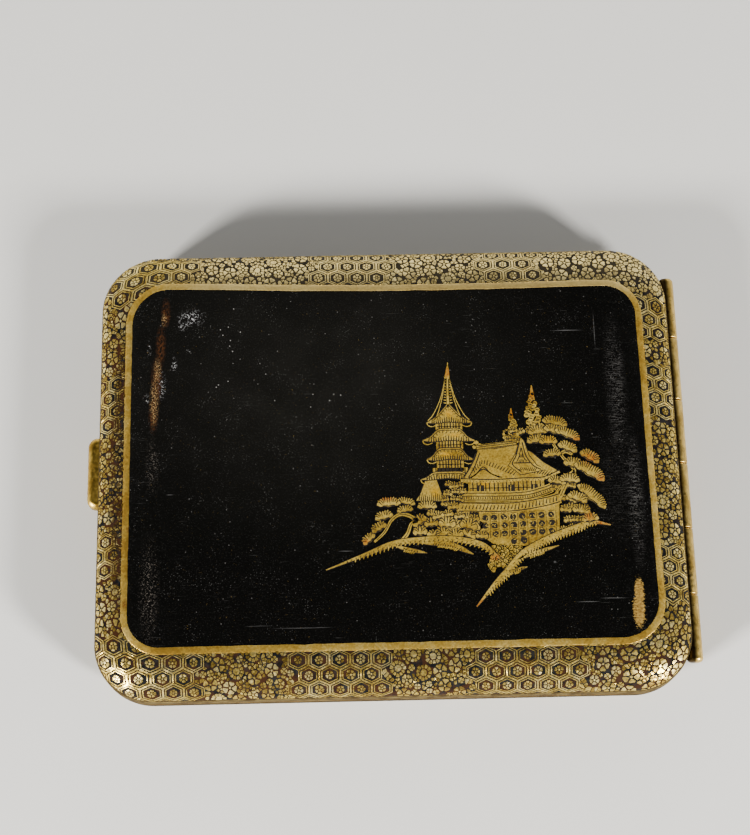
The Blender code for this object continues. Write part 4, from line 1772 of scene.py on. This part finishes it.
def rounded(builder, edges, radius, steps):
    """Round edges of a bmesh by a radius in millimetres."""
    bmesh.ops.bevel(
        builder, geom=edges, offset=radius * MM, segments=steps, profile=0.5, affect="EDGES"
    )


def make_knuckles(name, side, body, node, first):
    """The leaf of one shell with its knuckles, their ends rounded."""
    builder = bmesh.new()
    pitch = (HINGE_LENGTH + KNUCKLE_GAP) / KNUCKLE_COUNT
    length = pitch - KNUCKLE_GAP
    first_y = (HINGE_LENGTH - length) / 2
    places = [first_y - index * pitch for index in range(first, KNUCKLE_COUNT, 2)]
    for y in places:
        rod(builder, BARREL_RADIUS, length, y)
    rims = [e for e in builder.edges if len(e.link_faces) == 2 and e.calc_face_angle() > RIM_ANGLE]
    barrel_end = (HINGE_LENGTH / 2 - AT_END) * MM
    ends = [e for e in rims if all(abs(v.co.y) > barrel_end for v in e.verts)]
    rounded(builder, [e for e in rims if e not in ends], KNUCKLE_ROUND, 3)
    rounded(builder, ends, BARREL_END_ROUND, 6)
    strip_outer = HALF_WIDTH - WALL - LEAF_CLEARANCE
    low, high = sorted((SEAM + side * WEB_LOW, SEAM + side * WEB_HIGH))
    for y in places:
        near = max(y - length / 2, -LEAF_LENGTH / 2) + WEB_SHORT
        far = min(y + length / 2, LEAF_LENGTH / 2) - WEB_SHORT
        block(builder, (strip_outer - WEB_IN_LEAF, near, low), (HINGE_X - WEB_IN_BARREL, far, high))
    low, high = sorted((SEAM + side * LEAF_LOW, SEAM + side * (LEAF_LOW + LEAF_HEIGHT)))
    block(
        builder,
        (strip_outer - LEAF_THICKNESS, -LEAF_LENGTH / 2, low),
        (strip_outer, LEAF_LENGTH / 2, high),
    )
    leaf = finish_object(name, mesh_from(builder, name), [HINGE_BRASS], body)
    stand_for(leaf, node, FITTING_SHARP)


def make_pin():
    """The pin, its ends just inside the outer knuckles' faces."""
    builder = bmesh.new()
    rod(builder, PIN_RADIUS, HINGE_LENGTH - PIN_SHORT, 0, PIN_STEPS)
    mesh = mesh_from(builder, "pin_skin")
    pin = finish_object("pin_skin", mesh, [HINGE_BRASS], "base")
    stand_for(pin, "hinge_pin", FITTING_SHARP)


def make_button():
    """The push bar: a rounded bar with its flange inside the wall."""
    flange_outer = -HALF_WIDTH + WALL + FLANGE_GAP
    builder = bmesh.new()
    block(
        builder,
        (BUTTON_START, BUTTON_SHIFT - BUTTON_LENGTH / 2, SEAM - BUTTON_HEIGHT / 2),
        (flange_outer + BAR_IN_FLANGE, BUTTON_SHIFT + BUTTON_LENGTH / 2, SEAM + BUTTON_HEIGHT / 2),
    )
    outer_x = (BUTTON_START + 0.1) * MM
    outer = [e for e in builder.edges if all(v.co.x < outer_x for v in e.verts)]
    upright = [e for e in outer if abs(e.verts[0].co.z - e.verts[1].co.z) > MM]
    rounded(builder, upright, BUTTON_END_ROUND, 10)
    edges = [e for e in builder.edges if any(abs(f.normal.z) > FLAT_NORMAL for f in e.link_faces)]
    rounded(builder, edges, BUTTON_EDGE_ROUND, 8)
    half_flange = (button_high.y - button_low.y) / 2 / MM
    block(
        builder,
        (flange_outer, BUTTON_SHIFT - half_flange, button_low.z / MM),
        (flange_outer + FLANGE_THICKNESS, BUTTON_SHIFT + half_flange, BASE_RIM),
    )
    mesh = mesh_from(builder, "button_skin")
    button = finish_object("button_skin", mesh, [BUTTON_BRASS], "button")
    stand_for(button, "thumb_button", FITTING_SHARP)


make_shell_skin("lid_skin", LID, "lid", "lid_shell")
make_shell_skin("base_skin", BASE, "base", "base_shell")
make_panel("lid_panel", LID, "lid")
make_panel("base_panel", BASE, "base")
make_gold_line("lid_line", LID, "lid")
make_gold_line("base_line", BASE, "base")
make_pattern("lid_pattern", LID, "lid", LID_HEXAGONS, LID_SEED)
make_pattern("base_pattern", BASE, "base", BASE_HEXAGONS, BASE_SEED)
make_landscape()
make_knuckles("lid_knuckles", LID, "lid", "lid_hinge_leaf", 0)
make_knuckles("base_knuckles", BASE, "base", "base_hinge_leaf", 1)
make_pin()
make_button()


# Stage

FLOOR_HALF_SIZE = 1.5
HORIZON_LIGHT = 0.72
OVERHEAD_LIGHT = 0.05
FRONT_SHARE = 0.8
BACK_SHARE = 2.0
DOME_COLOUR = (1.0, 0.985, 0.95, 1)
LAMP_PLACES = {"left_front": (-0.858, -0.623, 0.428), "right_front": (0.788, -0.709, 0.439)}
LAMP_SIZE = 0.17
LAMP_POWER = 30.0
LAMP_COLOUR = (1.0, 0.97, 0.92)


def make_floor():
    """A pale matt surface under the case."""
    shader = Shader("pale_surface", 0.75, 0.0)
    dark, light = rgb(0.73, 0.73, 0.712), rgb(0.79, 0.79, 0.772)
    material = shader.finished(shader.mix(shader.noise(0.02, 4.0), dark, light))
    builder = bmesh.new()
    bmesh.ops.create_grid(builder, x_segments=1, y_segments=1, size=FLOOR_HALF_SIZE)
    mesh = mesh_from(builder, "floor")
    mesh.materials.append(material)
    add_object("floor", mesh)


def make_lamps():
    """Two low soft lamps from the front, in metres."""
    for name, place in LAMP_PLACES.items():
        data = bpy.data.lights.new(name, "AREA")
        data.size = LAMP_SIZE
        data.energy = LAMP_POWER
        data.color = LAMP_COLOUR
        lamp = add_object(name, data)
        lamp.location = place
        lamp.rotation_euler = (-Vector(place)).to_track_quat("-Z", "Y").to_euler()


def make_dome():
    """A dome of light that is dark overhead and brightest low at the back."""
    world = bpy.data.worlds.new("soft_dome")
    bpy.context.scene.world = world
    world.use_nodes = True
    nodes = world.node_tree.nodes
    links = world.node_tree.links
    direction = nodes.new("ShaderNodeTexCoord")
    split = nodes.new("ShaderNodeSeparateXYZ")
    links.new(direction.outputs["Generated"], split.inputs[0])
    strength = nodes.new("ShaderNodeMath")
    strength.operation = "MULTIPLY"
    for index, (axis, *steps) in enumerate((
        ("Z", 0.35, 0.85, HORIZON_LIGHT, OVERHEAD_LIGHT),
        ("Y", 0.1, 0.9, FRONT_SHARE, BACK_SHARE),
    )):
        fade = nodes.new("ShaderNodeMapRange")
        fade.interpolation_type = "SMOOTHSTEP"
        for name, value in zip(("From Min", "From Max", "To Min", "To Max"), steps):
            fade.inputs[name].default_value = value
        links.new(split.outputs[axis], fade.inputs["Value"])
        links.new(fade.outputs["Result"], strength.inputs[index])
    links.new(strength.outputs[0], nodes["Background"].inputs["Strength"])
    nodes["Background"].inputs["Color"].default_value = DOME_COLOUR


# The photograph's view, from a fit of the outline and the gold line
CAMERA_PLACE = (-7.73, -91.82, 327.21)
CAMERA_YAW = -0.0517
CAMERA_TILT = 0.3102
CAMERA_ROLL = 0.0292
FOCAL_PIXELS = 1748.1
IMAGE_HEIGHT = 835
SENSOR = 36.0
CLIP_START = 0.01


def make_camera():
    data = bpy.data.cameras.new("camera")
    data.sensor_width = SENSOR
    data.lens = FOCAL_PIXELS / IMAGE_HEIGHT * SENSOR
    data.clip_start = CLIP_START
    camera = add_object("camera", data)
    turn = (
        Matrix.Rotation(CAMERA_YAW, 4, "Z")
        @ Matrix.Rotation(CAMERA_TILT, 4, "X")
        @ Matrix.Rotation(CAMERA_ROLL, 4, "Z")
    )
    camera.matrix_world = Matrix.Translation(Vector(CAMERA_PLACE) * MM) @ turn
    bpy.context.scene.camera = camera


make_floor()
make_lamps()
make_dome()
make_camera()
